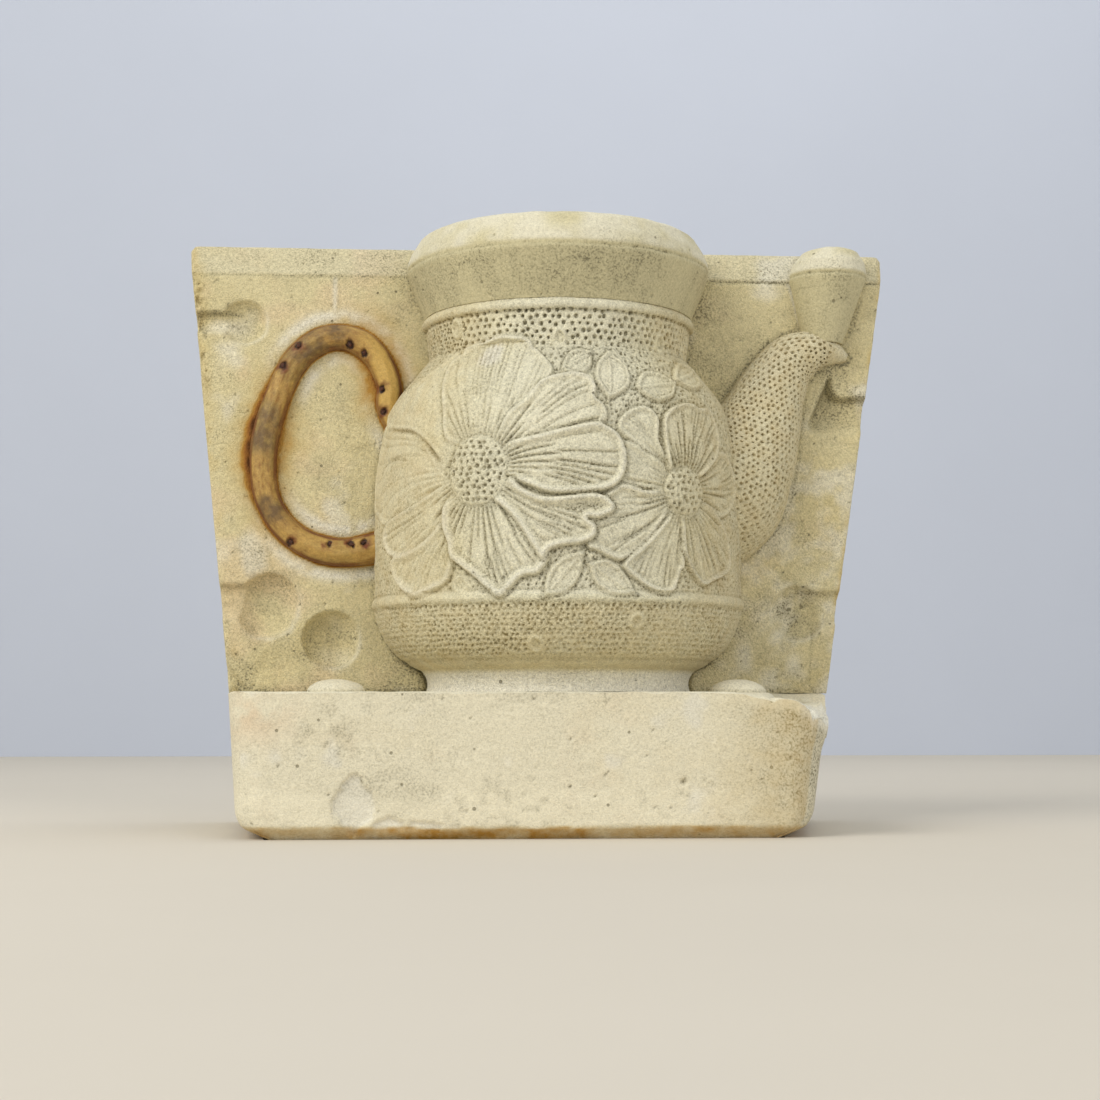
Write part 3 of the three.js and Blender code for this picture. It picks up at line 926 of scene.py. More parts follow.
@dataclass
class BaseBlock:
    """The flat block that the side case stands on."""

    datum: Datum
    left: float = -154.0
    right: float = 128.0
    front_left: float = -145.5
    front_right: float = 108.0
    front: float = -104.0
    back: float = 40.0
    top: float = BLOCK_TOP
    draft_left: float = 4.0
    draft_right: float = 8.0
    draft_front: float = 2.5
    foot_chamfer: float = 5.5
    front_corner: float = 14.0
    keys: tuple[str, ...] = ("slab_key_left", "slab_key_right")
    foot_turn_in: float = 8.0
    key_radius: float = 9.5
    key_depth: float = 6.3
    columns: int = 250
    rows: int = 62

    def build(self, finishes: Finishes) -> None:
        """Build and dress the block."""
        fine, coarse = 1.25, 2.4
        depth = self.back - self.front
        depths = list(
            np.concatenate([[1.0, 2.0, 3.2], np.arange(5.0, 104.0, coarse), np.arange(104.0, depth, fine)])
        )
        bm, unit = block_grid(self.columns, self.rows, depths + [depth])
        across, back, up = unit.T
        points = self._outline(across, back, up)
        points, marks = self._wear(points, across, back, up)
        self.datum.shape(bm, points)
        place("base_block_body", bm, Body.BASE, finishes.base, ("base_block",), marks)

    def _outline(self, across: Values, back: Values, up: Values) -> Values:
        """Return the block's plain shape: tapered plan, drafted sides and rounded front corners."""
        y = self.front + back
        share = np.clip(-y / -self.front, 0.0, 1.0)
        low_x = self.left + (self.front_left - self.left) * share
        high_x = self.right + (self.front_right - self.right) * share
        z = self.top * up
        sink = 1.0 - up
        low_x = low_x + self.draft_left * sink
        high_x = high_x - self.draft_right * sink
        flat = np.stack([low_x + (high_x - low_x) * across, y, z], 1)
        corner = np.stack([low_x, np.full_like(y, self.front), np.full_like(y, -50.0)], 1)
        far = np.stack([high_x, np.full_like(y, self.back + 50.0), np.full_like(y, 200.0)], 1)
        radius = self.front_corner * (0.72 + 0.28 * up) + 0 * y
        rounded = round_off(flat, corner, far, radius)
        rounded[:, 1] += self.draft_front * sink * smooth(30.0, 0.0, back)
        low_turn = np.clip(1.0 - z / 13.0, 0.0, 1.0) ** 2.4 * self.foot_turn_in
        rounded[:, 0] += low_turn * (smooth(0.16, 0.0, across) - smooth(0.84, 1.0, across))
        return rounded

    def _wear(
        self, points: Values, across: Values, back: Values, up: Values
    ) -> tuple[Values, dict[str, Values]]:
        """Return the shape with soft edges, its worn top, chips, key hollows and what the finish reads."""
        x, y, z = points.T.copy()
        out = np.abs(across - 0.5) * 2
        lumps = patchy(x, y + z, 16.0, 5)
        outer = np.maximum(smooth(3.2, 0.0, back), smooth(0.988, 1.0, out))
        # the top edge is crisp but nibbled, and low at the worn right-hand end
        top_band = smooth(2.2, 0.0, self.top - z)
        worn = smooth(62.0, 108.0, x) * smooth(-2.0, -14.0, y)
        step = (
            1.6 * smooth(-0.1, 0.25, patchy(x, y * 0.3, 7.0, 8))
            + 1.2 * smooth(0.1, 0.5, patchy(x, y * 0.3, 3.0, 9))
        )
        fall = (4.2 * worn + step * worn + 0.5 * np.abs(lumps)) * smooth(0.55, 1.0, up)
        natch_x, natch_y, _ = self.datum.centre("base_natch_right")
        clear = smooth(13.5, 20.0, np.hypot(x - natch_x, y - natch_y))
        corner = smooth(94.0, 102.0, x + 4.0 * patchy(y, x * 0, 7.0, 10)) * smooth(-26.0, -44.0, y)
        jagged = smooth(-0.3, 0.3, patchy(x, y * 0.6, 4.2, 12))
        broken = corner * (2.2 + 4.4 * jagged + 2.5 * smooth(100.0, 116.0, x)) * smooth(0.5, 1.0, up)
        z = z - (fall + broken) * clear
        pull = top_band * outer * (0.9 + 0.7 * patchy(x, y, 7.0, 3))
        z = z - pull * 0.8
        # the foot is rubbed to a ragged chamfer
        foot = smooth(self.foot_chamfer * (1.0 + 0.3 * patchy(x, y, 24.0, 11)), 0.0, z)
        middle_x = (self.front_left + self.front_right) / 2
        x = x + np.sign(middle_x - x) * smooth(0.97, 1.0, out) * foot * 4.0
        y = y + smooth(3.0, 0.0, back) * foot * 4.4 - foot * smooth(140.0, 144.0, back) * 3.0
        # broad unevenness and small knocks on the outer faces
        face = smooth(2.0, 0.0, back)
        y = y + face * (0.35 * patchy(x, z, 26.0, 21) + 0.15 * patchy(x, z, 5.0, 22))
        # a shallow flaked-off patch low on the front
        flake_x, flake_z = -93.0, 14.0
        ragged = 3.4 * patchy(x, z, 5.5, 31)
        flake = smooth(0.0, 1.5, 11.0 + ragged - np.hypot((x - flake_x) * 1.1, (z - flake_z) * 0.95))
        tail = (
            smooth(0.0, 1.6, 4.2 + ragged - np.hypot((x - flake_x - 24) * 0.22, z - 5.0))
            * smooth(2.0, 4.5, z)
        )
        flake = np.maximum(flake, tail) * face
        y = y + flake * 1.3
        pit = smooth(1.6, 0.5, np.hypot(x - 46.0, z - 24.0) + 0.5 * patchy(x, z, 2.0, 77)) * face
        pores = smooth(0.85, 0.3, stipple(x, z, 19.0, 0.62, 41, 0.45)) * face
        y = y + pit * 1.8 + pores * 0.9
        # hollows in the top for the slab's keys
        grime_and_shade = np.zeros_like(x)
        for key in self.keys:
            key_x, key_y, _ = self.datum.centre(key)
            reach = np.hypot(x - key_x, y - key_y) / self.key_radius
            hollow = np.sqrt(np.clip(1.0 - reach**2, 0.0, 1.0)) * smooth(0.98, 1.0, up)
            z = z - self.key_depth * hollow
            grime_and_shade = np.maximum(grime_and_shade, 0.35 * smooth(1.15, 0.9, reach) * smooth(0.98, 1.0, up))
        grime_and_shade = np.maximum(grime_and_shade, pit * 0.95 + pores * 0.7)
        grime_and_shade = np.maximum(grime_and_shade, 0.75 * hump(flake, 0.35, 0.25) * smooth(flake_z + 4, flake_z + 10, z))
        grime_and_shade = np.maximum(grime_and_shade, foot * (0.12 + 0.25 * patchy(x, z, 9.0, 51)))
        stain_patch = hump(x, -105.0, 15.0) * hump(z, 44.0, 13.0) * smooth(-0.35, 0.6, patchy(x, z, 5.0, 52))
        band = smooth(0.25, 0.7, patchy(x * 0.6, z, 22.0, 53)) * 0.25
        grime_and_shade = np.maximum(grime_and_shade, (0.5 * stain_patch + band) * face)
        snapped = clear * smooth(0.3, 1.5, broken) * smooth(0.86, 1.0, up)
        chalk_and_highlight = np.maximum(
            np.maximum(flake * 0.75, 0.85 * snapped),
            face * 0.7 * smooth(0.30, 0.75, patchy(x, z, 17.0, 54))
        )
        mottle = smooth(0.0, 0.5, patchy(x, z, 3.2, 58)) * smooth(-0.1, 0.45, patchy(x, z, 19.0, 59)) * face
        grime_and_shade = np.maximum(grime_and_shade, 0.28 * mottle)
        peach = 0.6 * hump(x, -136.0, 17.0) * hump(z, 52.0, 11.0) * smooth(-0.5, 0.4, patchy(x, z, 8.0, 55))
        # a brown band along the foot: dirt, with painted shade of the underside edge
        rubbed = smooth(5.8, 4.4, z + 1.1 * patchy(x, y, 9.0, 56)) * np.maximum(outer, smooth(2.5, 0.0, z))
        rubbed = rubbed * smooth(136.0, 112.0, back)
        stain_and_shade = rubbed * (0.24 + 0.13 * smooth(-0.3, 0.5, patchy(x, z, 16.0, 57)))
        # painted shade: the front darkens towards its right end, away from the light, in the dark mark and
        # the brown mark
        right_end_shade = (
            smooth(50.0, 108.0, x) * 0.42 * smooth(0.0, 3.0, z) * smooth(0.97, 0.9, up)
            * smooth(134.0, 110.0, back)
        )
        stain_and_shade = np.maximum(stain_and_shade, 0.14 * smooth(40.0, 112.0, x) * face)
        ahead = smooth(144.0, 139.0, back)
        marks = {"grime_and_shade": np.clip(grime_and_shade + right_end_shade, 0, 1), "chalk_and_highlight": chalk_and_highlight, "peach": peach, "stain_and_shade": stain_and_shade}
        marks = {name: value * ahead for name, value in marks.items()}
        return np.stack([x, y, np.maximum(z, 0.0)], 1), marks


@dataclass
class BaseNatches:
    """The two domes on the block that key the front case."""

    datum: Datum
    radius: float = 13.0
    height: float = 6.0
    root: float = 2.4
    seat: float = BLOCK_TOP
    nodes: tuple[str, ...] = ("base_natch_left", "base_natch_right")

    def build(self, finishes: Finishes) -> None:
        """Build both domes by spinning their profile."""
        for seed, node in enumerate(self.nodes):
            x, y, _ = self.datum.centre(node)
            profile = [(0.0, 0.0, -self.root), (self.radius, 0.0, -self.root)]
            for a in np.linspace(0.0, math.pi / 2, 22):
                profile.append((self.radius * math.cos(a), 0.0, self.height * math.sin(a)))
            bm = turned(profile, (0, 0, 1), 72)
            at = spots(bm)
            lump = 0.25 * patchy(at[:, 0] + 30 * seed, at[:, 1], 7.0, 61)
            swell = 1.0 + lump * 0.08
            points = np.stack([at[:, 0] * swell + x, at[:, 1] * swell + y, at[:, 2] + self.seat + lump], 1)
            marks = {"grime_and_shade": 0.14 + 0.3 * smooth(2.0, 0.0, at[:, 2])}
            self.datum.shape(bm, points)
            place(node + "_dome", bm, Body.BASE, finishes.base, (node,), marks)


# ---------------------------------------------------------------- slab


@dataclass(frozen=True)
class Socket:
    """A dished natch hollow in the slab face, with the channel that may run from it to an edge."""

    x: float
    z: float
    mouth: float
    depth: float
    edge: Edge = Edge.NONE
    channel_z: float = 0.0
    channel_half: float = 0.0
    channel_depth: float = 0.0
    dirt_and_shade: float = 0.4


@dataclass
class BackSlab:
    """The upright slab of the side case."""

    datum: Datum
    outlines: CaseOutlines
    bottom: float = BLOCK_TOP
    top: float = SLAB_TOP
    thickness: float = 40.0
    bottom_left: float = -154.5
    bottom_right: float = 129.0
    top_left: float = -176.0
    top_right: float = 160.0
    bevel_start: float = BEVEL_START
    bevel_depth: float = BEVEL_DEPTH
    columns: int = 350
    rows: int = 226
    sockets: tuple[Socket, ...] = (
        Socket(-149.0, 238.0, 10.5, 5.2, Edge.LEFT, 238.0, 5.0, 3.6, 0.75),
        Socket(-137.0, 103.0, 15.2, 7.0, Edge.LEFT, 105.0, 8.5, 4.4, 0.5),
        Socket(-107.0, 87.0, 13.4, 7.6, dirt_and_shade=0.62),
        Socket(115.0, 100.0, 13.5, 6.4, Edge.RIGHT, 103.0, 8.5, 4.2, 0.75),
    )
    pocket: Points = (
        (131.5, 214.5), (133.5, 208.0), (137.5, 204.8), (150.0, 204.2), (152.0, 190.0), (141.0, 186.5),
        (129.0, 185.5), (121.0, 190.5), (124.5, 199.0),
    )
    pocket_depth: float = 8.2

    def build(self, finishes: Finishes) -> None:
        """Build and dress the slab."""
        depths = [0.8, 1.6, 2.6, 4.0, 6.0, 9.0, 13.0, 18.0, 24.0, 30.0, 35.0, 38.0, 39.2, self.thickness]
        bm, unit = block_grid(self.columns, self.rows, depths)
        across, depth, up = unit.T
        z = self.bottom + (self.top - self.bottom) * up
        low_x = self.bottom_left + (self.top_left - self.bottom_left) * up
        high_x = self.bottom_right + (self.top_right - self.bottom_right) * up
        x = low_x + (high_x - low_x) * across
        nibble = np.abs(patchy(x * 0.4, z, 9.0, 71)) * 1.5
        battered = smooth(198.0, 226.0, z) * smooth(266.0, 256.0, z) * smooth(0.3, 0.0, across)
        radius = 1.0 + nibble + 2.6 * battered * (0.6 + 0.6 * patchy(x * 0.3, z, 7.0, 72))
        end = np.minimum(across, 1 - across)
        radius = np.clip(radius + 2.4 * smooth(266.0, 276.0, z) * smooth(0.014, 0.0, end), 0.7, 5.0)
        low = np.stack([low_x, np.zeros_like(x), np.full_like(x, self.bottom - 20.0)], 1)
        high = np.stack([high_x, np.full_like(x, self.thickness), np.full_like(x, self.top)], 1)
        points = round_off(np.stack([x, depth, z], 1), low, high, radius)
        points, marks = self._face(points, depth, up, across, battered)
        self.datum.shape(bm, points)
        place("back_slab_body", bm, Body.CASE, finishes.slab, ("back_slab",), marks)

    def _face(
        self, points: Values, depth: Values, up: Values, across: Values, battered: Values
    ) -> tuple[Values, dict[str, Values]]:
        """Return the slab with its face carved, and what its finish reads."""
        x, y, z = points.T.copy()
        face = smooth(9.0, 0.0, depth)
        front = smooth(1.2, 0.0, depth)
        sunk, grime_and_shade, chalk_and_highlight = self._hollows(x, z)
        # the leaning strip along the top edge, with the joint line under it
        lean = np.clip((z - self.bevel_start) / (self.top - self.bevel_start), 0.0, 1.0)
        joint_z = self.bevel_start + 0.5 * patchy(x, z * 0, 30.0, 73) + 0.25 * patchy(x, z * 0, 6.0, 74)
        joint = hump(z - joint_z, 0.0, 0.7)
        lip = hump(z - joint_z, 1.6, 0.9)
        open_joint = 0.45 + 0.4 * smooth(60.0, 78.0, x) + 0.35 * patchy(x, z * 0, 16.0, 75)
        sunk = sunk * (1 - 0.85 * smooth(0.0, 0.08, lean)) + 0.9 * joint * open_joint - 0.3 * lip
        grime_and_shade = np.maximum(grime_and_shade, 1.25 * joint * open_joint)
        grime_and_shade = np.maximum(grime_and_shade, 0.24 * smooth(0.0, 0.1, lean))
        # hand-scraped unevenness, finger dents and pin pits
        sunk = sunk + 0.55 * (patchy(x, z, 34.0, 76) + 0.2) + 0.22 * patchy(x, z, 8.0, 77)
        pits = smooth(0.9, 0.25, stipple(x, z, 15.0, 0.9, 78, 0.45))
        sunk = sunk + 0.7 * pits
        grime_and_shade = np.maximum(grime_and_shade, 0.75 * pits)
        # the vent rib over the handle and the scored line low on the right
        rib = hump(x, -106.5, 1.1) * smooth(238.0, 242.0, z) * smooth(262.0, 258.0, z)
        sunk = (
            sunk - 0.7 * rib
            + 0.35 * hump(x, -104.0, 1.2) * smooth(238.0, 242.0, z) * smooth(260.0, 257.0, z)
        )
        score = hump(x, 121.5 + 0.07 * (z - 80.0), 0.5) * smooth(98.0, 92.0, z) * smooth(62.0, 66.0, z)
        sunk = sunk + 0.4 * score
        grime_and_shade = np.maximum(grime_and_shade, 0.45 * score)
        chalk_and_highlight = np.maximum(chalk_and_highlight, 0.6 * rib)
        for soft, seed in ((0.9, 81), (0.6, 82)):
            drip = (
                smooth(0.3, 0.75, patchy(x, z, 6.0, seed)) * smooth(80.0, 66.0, z) * smooth(100.0, 112.0, x)
            )
            sunk = sunk - soft * drip
        # chips and broken grain on the battered left edge
        inward = x - self._left(z)
        chips = smooth(0.05, 0.5, patchy(x * 1.4, z, 4.2, 83)) * battered * smooth(6.5, 0.5, inward)
        specks = (
            smooth(1.0, 0.4, stipple(x, z, 2.7, 0.75, 92, 0.45))
            * smooth(0.0, 0.5, patchy(x, z, 9.0, 93) + 0.25)
        )
        chips = np.maximum(chips, 0.8 * specks * battered * smooth(8.5, 1.0, inward))
        sunk = sunk + 2.0 * chips
        grime_and_shade = np.maximum(grime_and_shade, 0.95 * chips)
        near_edge = smooth(9.0, 1.0, inward) * smooth(0.4, 0.0, across)
        far_edge = smooth(3.0, 0.4, self._right(z) - x)
        stain_and_shade = 0.15 * near_edge * smooth(-0.5, 0.5, patchy(x, z, 8.0, 84)) * smooth(110.0, 200.0, z)
        stain_and_shade = np.maximum(stain_and_shade, 0.18 * far_edge * smooth(-0.2, 0.5, patchy(x, z, 9.0, 85)))
        stain_and_shade = np.maximum(stain_and_shade, 0.13 * near_edge * smooth(0.0, 0.5, patchy(x, z, 12.0, 91)))
        grime_and_shade, stain_and_shade, chalk_and_highlight, sunk = self._round_forms(x, z, grime_and_shade, stain_and_shade, chalk_and_highlight, sunk)
        # dirt gathered low, and along the foot where the slab meets the block
        low_dirt = (
            0.5 * smooth(66.5, 62.5, z)
            + 0.22 * smooth(110.0, 70.0, z) * smooth(-0.3, 0.6, patchy(x, z, 10.0, 86))
        )
        grime_and_shade = np.maximum(grime_and_shade, low_dirt)
        grime_and_shade = grime_and_shade + 0.10 * smooth(60.0, 150.0, x) * smooth(0.0, 0.6, patchy(x, z, 18.0, 87))
        grime_and_shade = grime_and_shade + 0.20 * smooth(0.15, 0.6, patchy(x, z, 13.0, 97)) * smooth(0.1, 0.0, lean)
        peach = 0.35 * smooth(0.15, 0.6, patchy(x, z, 30.0, 88)) * smooth(-60.0, -100.0, x)
        chalk_and_highlight = np.maximum(
            chalk_and_highlight, 0.55 * smooth(0.2, 0.7, patchy(x, z, 26.0, 89)) + 0.16 * smooth(0.0, 0.1, lean)
        )
        right_side = smooth(88.0, 100.0, x) * smooth(204.0, 180.0, z)
        chalk_and_highlight = np.maximum(chalk_and_highlight, 0.5 * right_side * smooth(-0.3, 0.5, patchy(x, z, 11.0, 98)))
        y = y + sunk * face + self.bevel_depth * lean * (1.0 - depth / self.thickness)
        marks = {
            "grime_and_shade": np.clip(grime_and_shade, 0, 1) * front,
            "stain_and_shade": np.clip(stain_and_shade, 0, 1) * front,
            "chalk_and_highlight": np.clip(chalk_and_highlight, 0, 0.9) * front,
            "peach": peach * front,
        }
        return np.stack([x, np.clip(y, 0.0, self.thickness), z], 1), marks

    def _left(self, z: Values) -> Values:
        """Return the slab's left edge at a height."""
        share = (z - self.bottom) / (self.top - self.bottom)
        return self.bottom_left + (self.top_left - self.bottom_left) * share

    def _right(self, z: Values) -> Values:
        """Return the slab's right edge at a height."""
        share = (z - self.bottom) / (self.top - self.bottom)
        return self.bottom_right + (self.top_right - self.bottom_right) * share

    def _hollows(self, x: Values, z: Values) -> tuple[Values, Values, Values]:
        """Return the depth, the dirt with painted shade, and the painted highlights on the lips of the
        sockets and their channels.
        """
        sunk, grime_and_shade, chalk_and_highlight = np.zeros_like(x), np.zeros_like(x), np.zeros_like(x)
        for number, socket in enumerate(self.sockets):
            wobble = 1.0 + 0.07 * patchy(x, z, 9.0, 90 + number)
            reach = np.hypot(x - socket.x, z - socket.z) / (socket.mouth * wobble)
            bowl = np.clip(1.0 - reach**2.8, 0.0, 1.0) ** 0.62
            sunk = np.maximum(sunk, socket.depth * bowl)
            # each socket's upper-left wall gets painted shade and its lower-right lip a painted highlight, as
            # if lit from the upper left
            toward_light = (x - socket.x - z + socket.z) / (1.41 * socket.mouth)
            shade = bowl * (0.45 + 0.55 * smooth(0.6, -0.6, toward_light))
            grime_and_shade = np.maximum(
                grime_and_shade, socket.dirt_and_shade * 0.8 * shade * smooth(-0.7, 0.4, patchy(x, z, 6.0, 96 + number))
            )
            crescent = hump(reach, 1.0, 0.10) * smooth(0.0, 0.8, toward_light)
            chalk_and_highlight = np.maximum(chalk_and_highlight, 0.34 * crescent * smooth(-0.7, 0.2, patchy(x, z, 8.0, 94)))
            if socket.edge is not Edge.NONE:
                off = np.abs(z - socket.channel_z) / socket.channel_half
                outward = smooth(-3.0, 3.0, (x - socket.x) * socket.edge.value)
                trough = np.clip(1.0 - off**3.5, 0.0, 1.0) * outward
                sunk = np.maximum(sunk, socket.channel_depth * trough)
                # painted shade on the channel's upper wall, under its lip
                lip = hump(z - socket.channel_z, socket.channel_half * 0.82, 1.3) * outward
                grime_and_shade = np.maximum(grime_and_shade, socket.dirt_and_shade * 0.9 * lip * smooth(-0.6, 0.3, patchy(x, z, 8.0, 99)))
        # a soft crease runs down to the lower left corner
        crease = hump((x + 160.0) * 0.754 + (z - 77.4) * 0.657, 0.0, 1.9) * smooth(-144.0, -150.0, x)
        sunk = np.maximum(sunk, 2.6 * crease)
        grime_and_shade = np.maximum(grime_and_shade, 0.6 * crease * smooth(-0.6, 0.3, patchy(x, z, 7.0, 95)))
        # the right-hand pocket has one steep wall and runs shallow to the edge; its upper wall and floor get
        # painted shade
        near, gap = inside_distance(rounded_loop(self.pocket), x, z, 3.0)
        floor = (1.0 - 0.5 * smooth(126.0, 146.0, x[near])) * smooth(183.5, 197.0, z[near])
        sunk[near] = np.maximum(sunk[near], self.pocket_depth * floor * smooth(-0.4, 2.4, gap))
        shade = (
            0.75 * hump(gap, 0.9, 1.6) * smooth(194.0, 199.0, z[near])
            + 0.35 * smooth(0.0, 3.0, gap) * floor
        )
        grime_and_shade[near] = np.maximum(grime_and_shade[near], shade * (0.8 + 0.4 * patchy(x[near], z[near], 6.0, 100)))
        return sunk, grime_and_shade, chalk_and_highlight

    def _round_forms(
        self, x: Values, z: Values, grime_and_shade: Values, stain_and_shade: Values, chalk_and_highlight: Values, sunk: Values
    ) -> tuple[Values, Values, Values, Values]:
        """Return the marks with the dirt, rust, painted shadow and scraped hollows round each raised form."""
        pot = self.outlines.pot_gap(x, z)
        spout = tube_gap(self.outlines.spout_line, x, z)
        handle = tube_gap(self.outlines.handle_line, x, z)
        sprue = self.outlines.sprue_gap(x, z)
        ragged = 0.75 + 0.5 * patchy(x, z, 9.0, 101)
        open_crack = hump(pot, 0.5, 1.0) * smooth(82.0, 72.0, z)
        sunk = sunk + 2.2 * open_crack
        crack = np.maximum(hump(pot, 0.3, 1.1) * smooth(140.0, 70.0, z), 0.5 * hump(pot, 0.2, 1.0))
        crack = np.maximum(crack, 0.55 * hump(spout, 0.3, 1.2))
        crack = np.maximum(crack, 0.45 * hump(sprue, 0.3, 1.0))
        soft = 0.62 * np.exp(-np.maximum(pot, 0) / 11.0) * smooth(120.0, 66.0, z)
        soft = np.maximum(soft, 0.25 * np.exp(-np.maximum(spout, 0) / 7.0))
        # painted shadow on the slab beside the neck and spare: deep on the right, away from the light, and
        # light on the left
        soft = np.maximum(soft, 0.75 * np.exp(-np.maximum(pot, 0) / 9.0) * smooth(206.0, 222.0, z) * (x > 0))
        soft = np.maximum(soft, 0.32 * np.exp(-np.maximum(pot, 0) / 5.0) * smooth(206.0, 222.0, z) * (x < 0))
        grime_and_shade = np.maximum(grime_and_shade, np.maximum(crack, soft * ragged))
        # rust soaks out of the handle form, most down its left side
        centre_x, centre_z = -107.0, 180.0
        side = np.arctan2(z - centre_z, x - centre_x)
        left_side = hump(np.abs(side), math.pi, 0.75)
        outer = np.hypot(x - centre_x, (z - centre_z) * 0.68) > 33.0
        gap = np.maximum(handle, 0.0)
        uneven = np.clip(1.0 + 0.4 * patchy(x, z, 15.0, 102), 0.75, 1.3)
        glow_side = np.maximum(hump(np.abs(side), math.pi, 0.95), hump(side, 1.05, 0.5))
        burnt = (0.74 * left_side + 0.26) * np.exp(-((gap / (1.2 + 2.8 * left_side * uneven)) ** 1.5))
        spread_out = np.where(outer, 0.34, 0.40) * np.exp(-((gap / (8.8 * uneven)) ** 1.7))
        line = 0.7 * np.exp(-((gap / 0.8) ** 2))
        halo = np.maximum(np.where(outer, burnt, 0.6 * burnt), np.maximum(spread_out * glow_side, line))
        stain_and_shade = np.maximum(stain_and_shade, halo * (x < -60))
        pale = hump(handle, 4.5, 3.0) * smooth(0.35, 0.0, left_side) * (x < -60)
        pale = pale * (1.0 - 0.8 * hump(side, 0.75, 0.6) * ~outer)
        chalk_and_highlight = np.maximum(chalk_and_highlight, 0.92 * pale * smooth(-0.9, -0.1, patchy(x, z, 10.0, 104)))
        flank = (
            hump(sprue, 1.0, 0.9) * (x < self.outlines.sprue_x) * smooth(236.0, 242.0, z)
            * smooth(263.0, 259.0, z)
        )
        chalk_and_highlight = np.maximum(chalk_and_highlight, 0.8 * flank)
        sunk = sunk + 0.5 * np.exp(-np.maximum(handle, 0) / 1.5)
        return grime_and_shade, stain_and_shade, chalk_and_highlight, sunk


# ---------------------------------------------------------------- flowers


@dataclass(frozen=True)
class Petal:
    """One raised petal: its outline in millimetres round and up the belly, and how it is modelled."""

    outline: Points
    level: float = 1.1
    rim: float = 1.0
    rim_width: float = 2.6
    groove: float = 0.55
    bound_edges: bool = False
    crease: float = 1.0


@dataclass(frozen=True)
class Flower:
    """A flower: the stippled disc in its middle and its petals, lowest first."""

    centre: tuple[float, float]
    disc: tuple[float, float]
    disc_height: float
    rays: int
    petals: tuple[Petal, ...]


@dataclass(frozen=True)
class Leaf:
    """A small pointed leaf with a raised edge and a rib from stalk to tip."""

    outline: Points
    stalk: tuple[float, float]
    tip: tuple[float, float]


@dataclass(frozen=True)
class Ridge:
    """A raised or, with a negative height, cut line on the belly."""

    line: Points
    height: float
    width: float


LEFT_FLOWER = Flower(
    (-43.0, 159.0), (14.0, 15.5), 1.6, 58,
    (
        Petal(((-60, 158), (-68, 168), (-80, 180), (-98, 186), (-126, 186), (-132, 152), (-118, 143), (-101,
               138),
               (-77, 145), (-58, 151)), 0.45, 0.25, 2.4, 0.32, False, 0.45),
        Petal(((-60, 160), (-66, 168), (-75, 175), (-86, 180), (-98, 182), (-116, 185), (-126, 192), (-114,
               198),
               (-98, 204), (-86, 211), (-76, 217), (-69, 210), (-62, 190), (-55, 174)), 0.7, 0.3, 2.0, 0.10,
               False, 0.5),
        Petal(((-52, 147), (-60, 137), (-65, 131), (-75, 125), (-87, 122), (-99, 124), (-106, 131), (-104,
               138),
               (-92, 142), (-77, 146), (-58, 153)), 0.85, 0.4, 2.4, 0.5, False, 0.7),
        Petal(((-55, 146), (-64, 134), (-80, 125), (-97, 122), (-95, 114), (-87, 108), (-77, 104), (-68, 106),
               (-60, 109), (-56, 114), (-52, 130), (-48, 142)), 0.8, 0.6, 2.8, 0.4, False, 0.8),
        Petal(((-58, 172), (-65, 188), (-71, 202), (-75, 211), (-68, 217), (-56, 220), (-44, 222.5), (-34,
               222),
               (-26, 221), (-20, 215), (-14, 211), (-9, 205), (-12, 198), (-20, 190), (-29, 183), (-33, 172)),
              0.9, 0.6, 2.2, 0.38, False, 0.8),
        Petal(((-34, 172), (-29, 184), (-19, 192), (-15, 198), (-8, 201), (1, 202.5), (9, 201), (12, 196),
               (11, 191),
               (15, 188), (16.5, 183), (13, 178), (2, 172), (-14, 166), (-29, 166)), 1.25, 0.7, 2.4, 0.6,
               False, 0.9),
        Petal(((-30, 169), (-14, 174), (2, 178), (11, 179.5), (17, 177.5), (22, 173.5), (24.5, 166), (23.5,
               158),
               (20, 152.5), (14, 149.5), (3, 148), (-9, 148), (-18, 151), (-28, 156)), 1.35, 1.1, 3.0, 0.7),
        Petal(((-56, 147), (-60, 136), (-57, 127), (-56, 121), (-51, 117), (-44, 112), (-38, 107), (-33, 103),
               (-29, 104), (-25, 109), (-21, 112), (-15, 113), (-11, 118), (-10, 124), (-18, 138), (-30,
               150)),
              1.15, 1.3, 3.4, 0.6),
        Petal(((-28, 155), (-21, 150), (-12, 146.5), (-1, 147), (8, 148), (14, 147), (18.5, 143), (17, 139.5),
               (11, 137), (6.5, 137), (10, 134), (9.5, 129), (4, 126), (-4, 125), (-10, 123), (-13, 119),
               (-18, 126), (-26, 138), (-36, 148)), 1.45, 1.6, 3.3, 0.65, True),
    ),
)
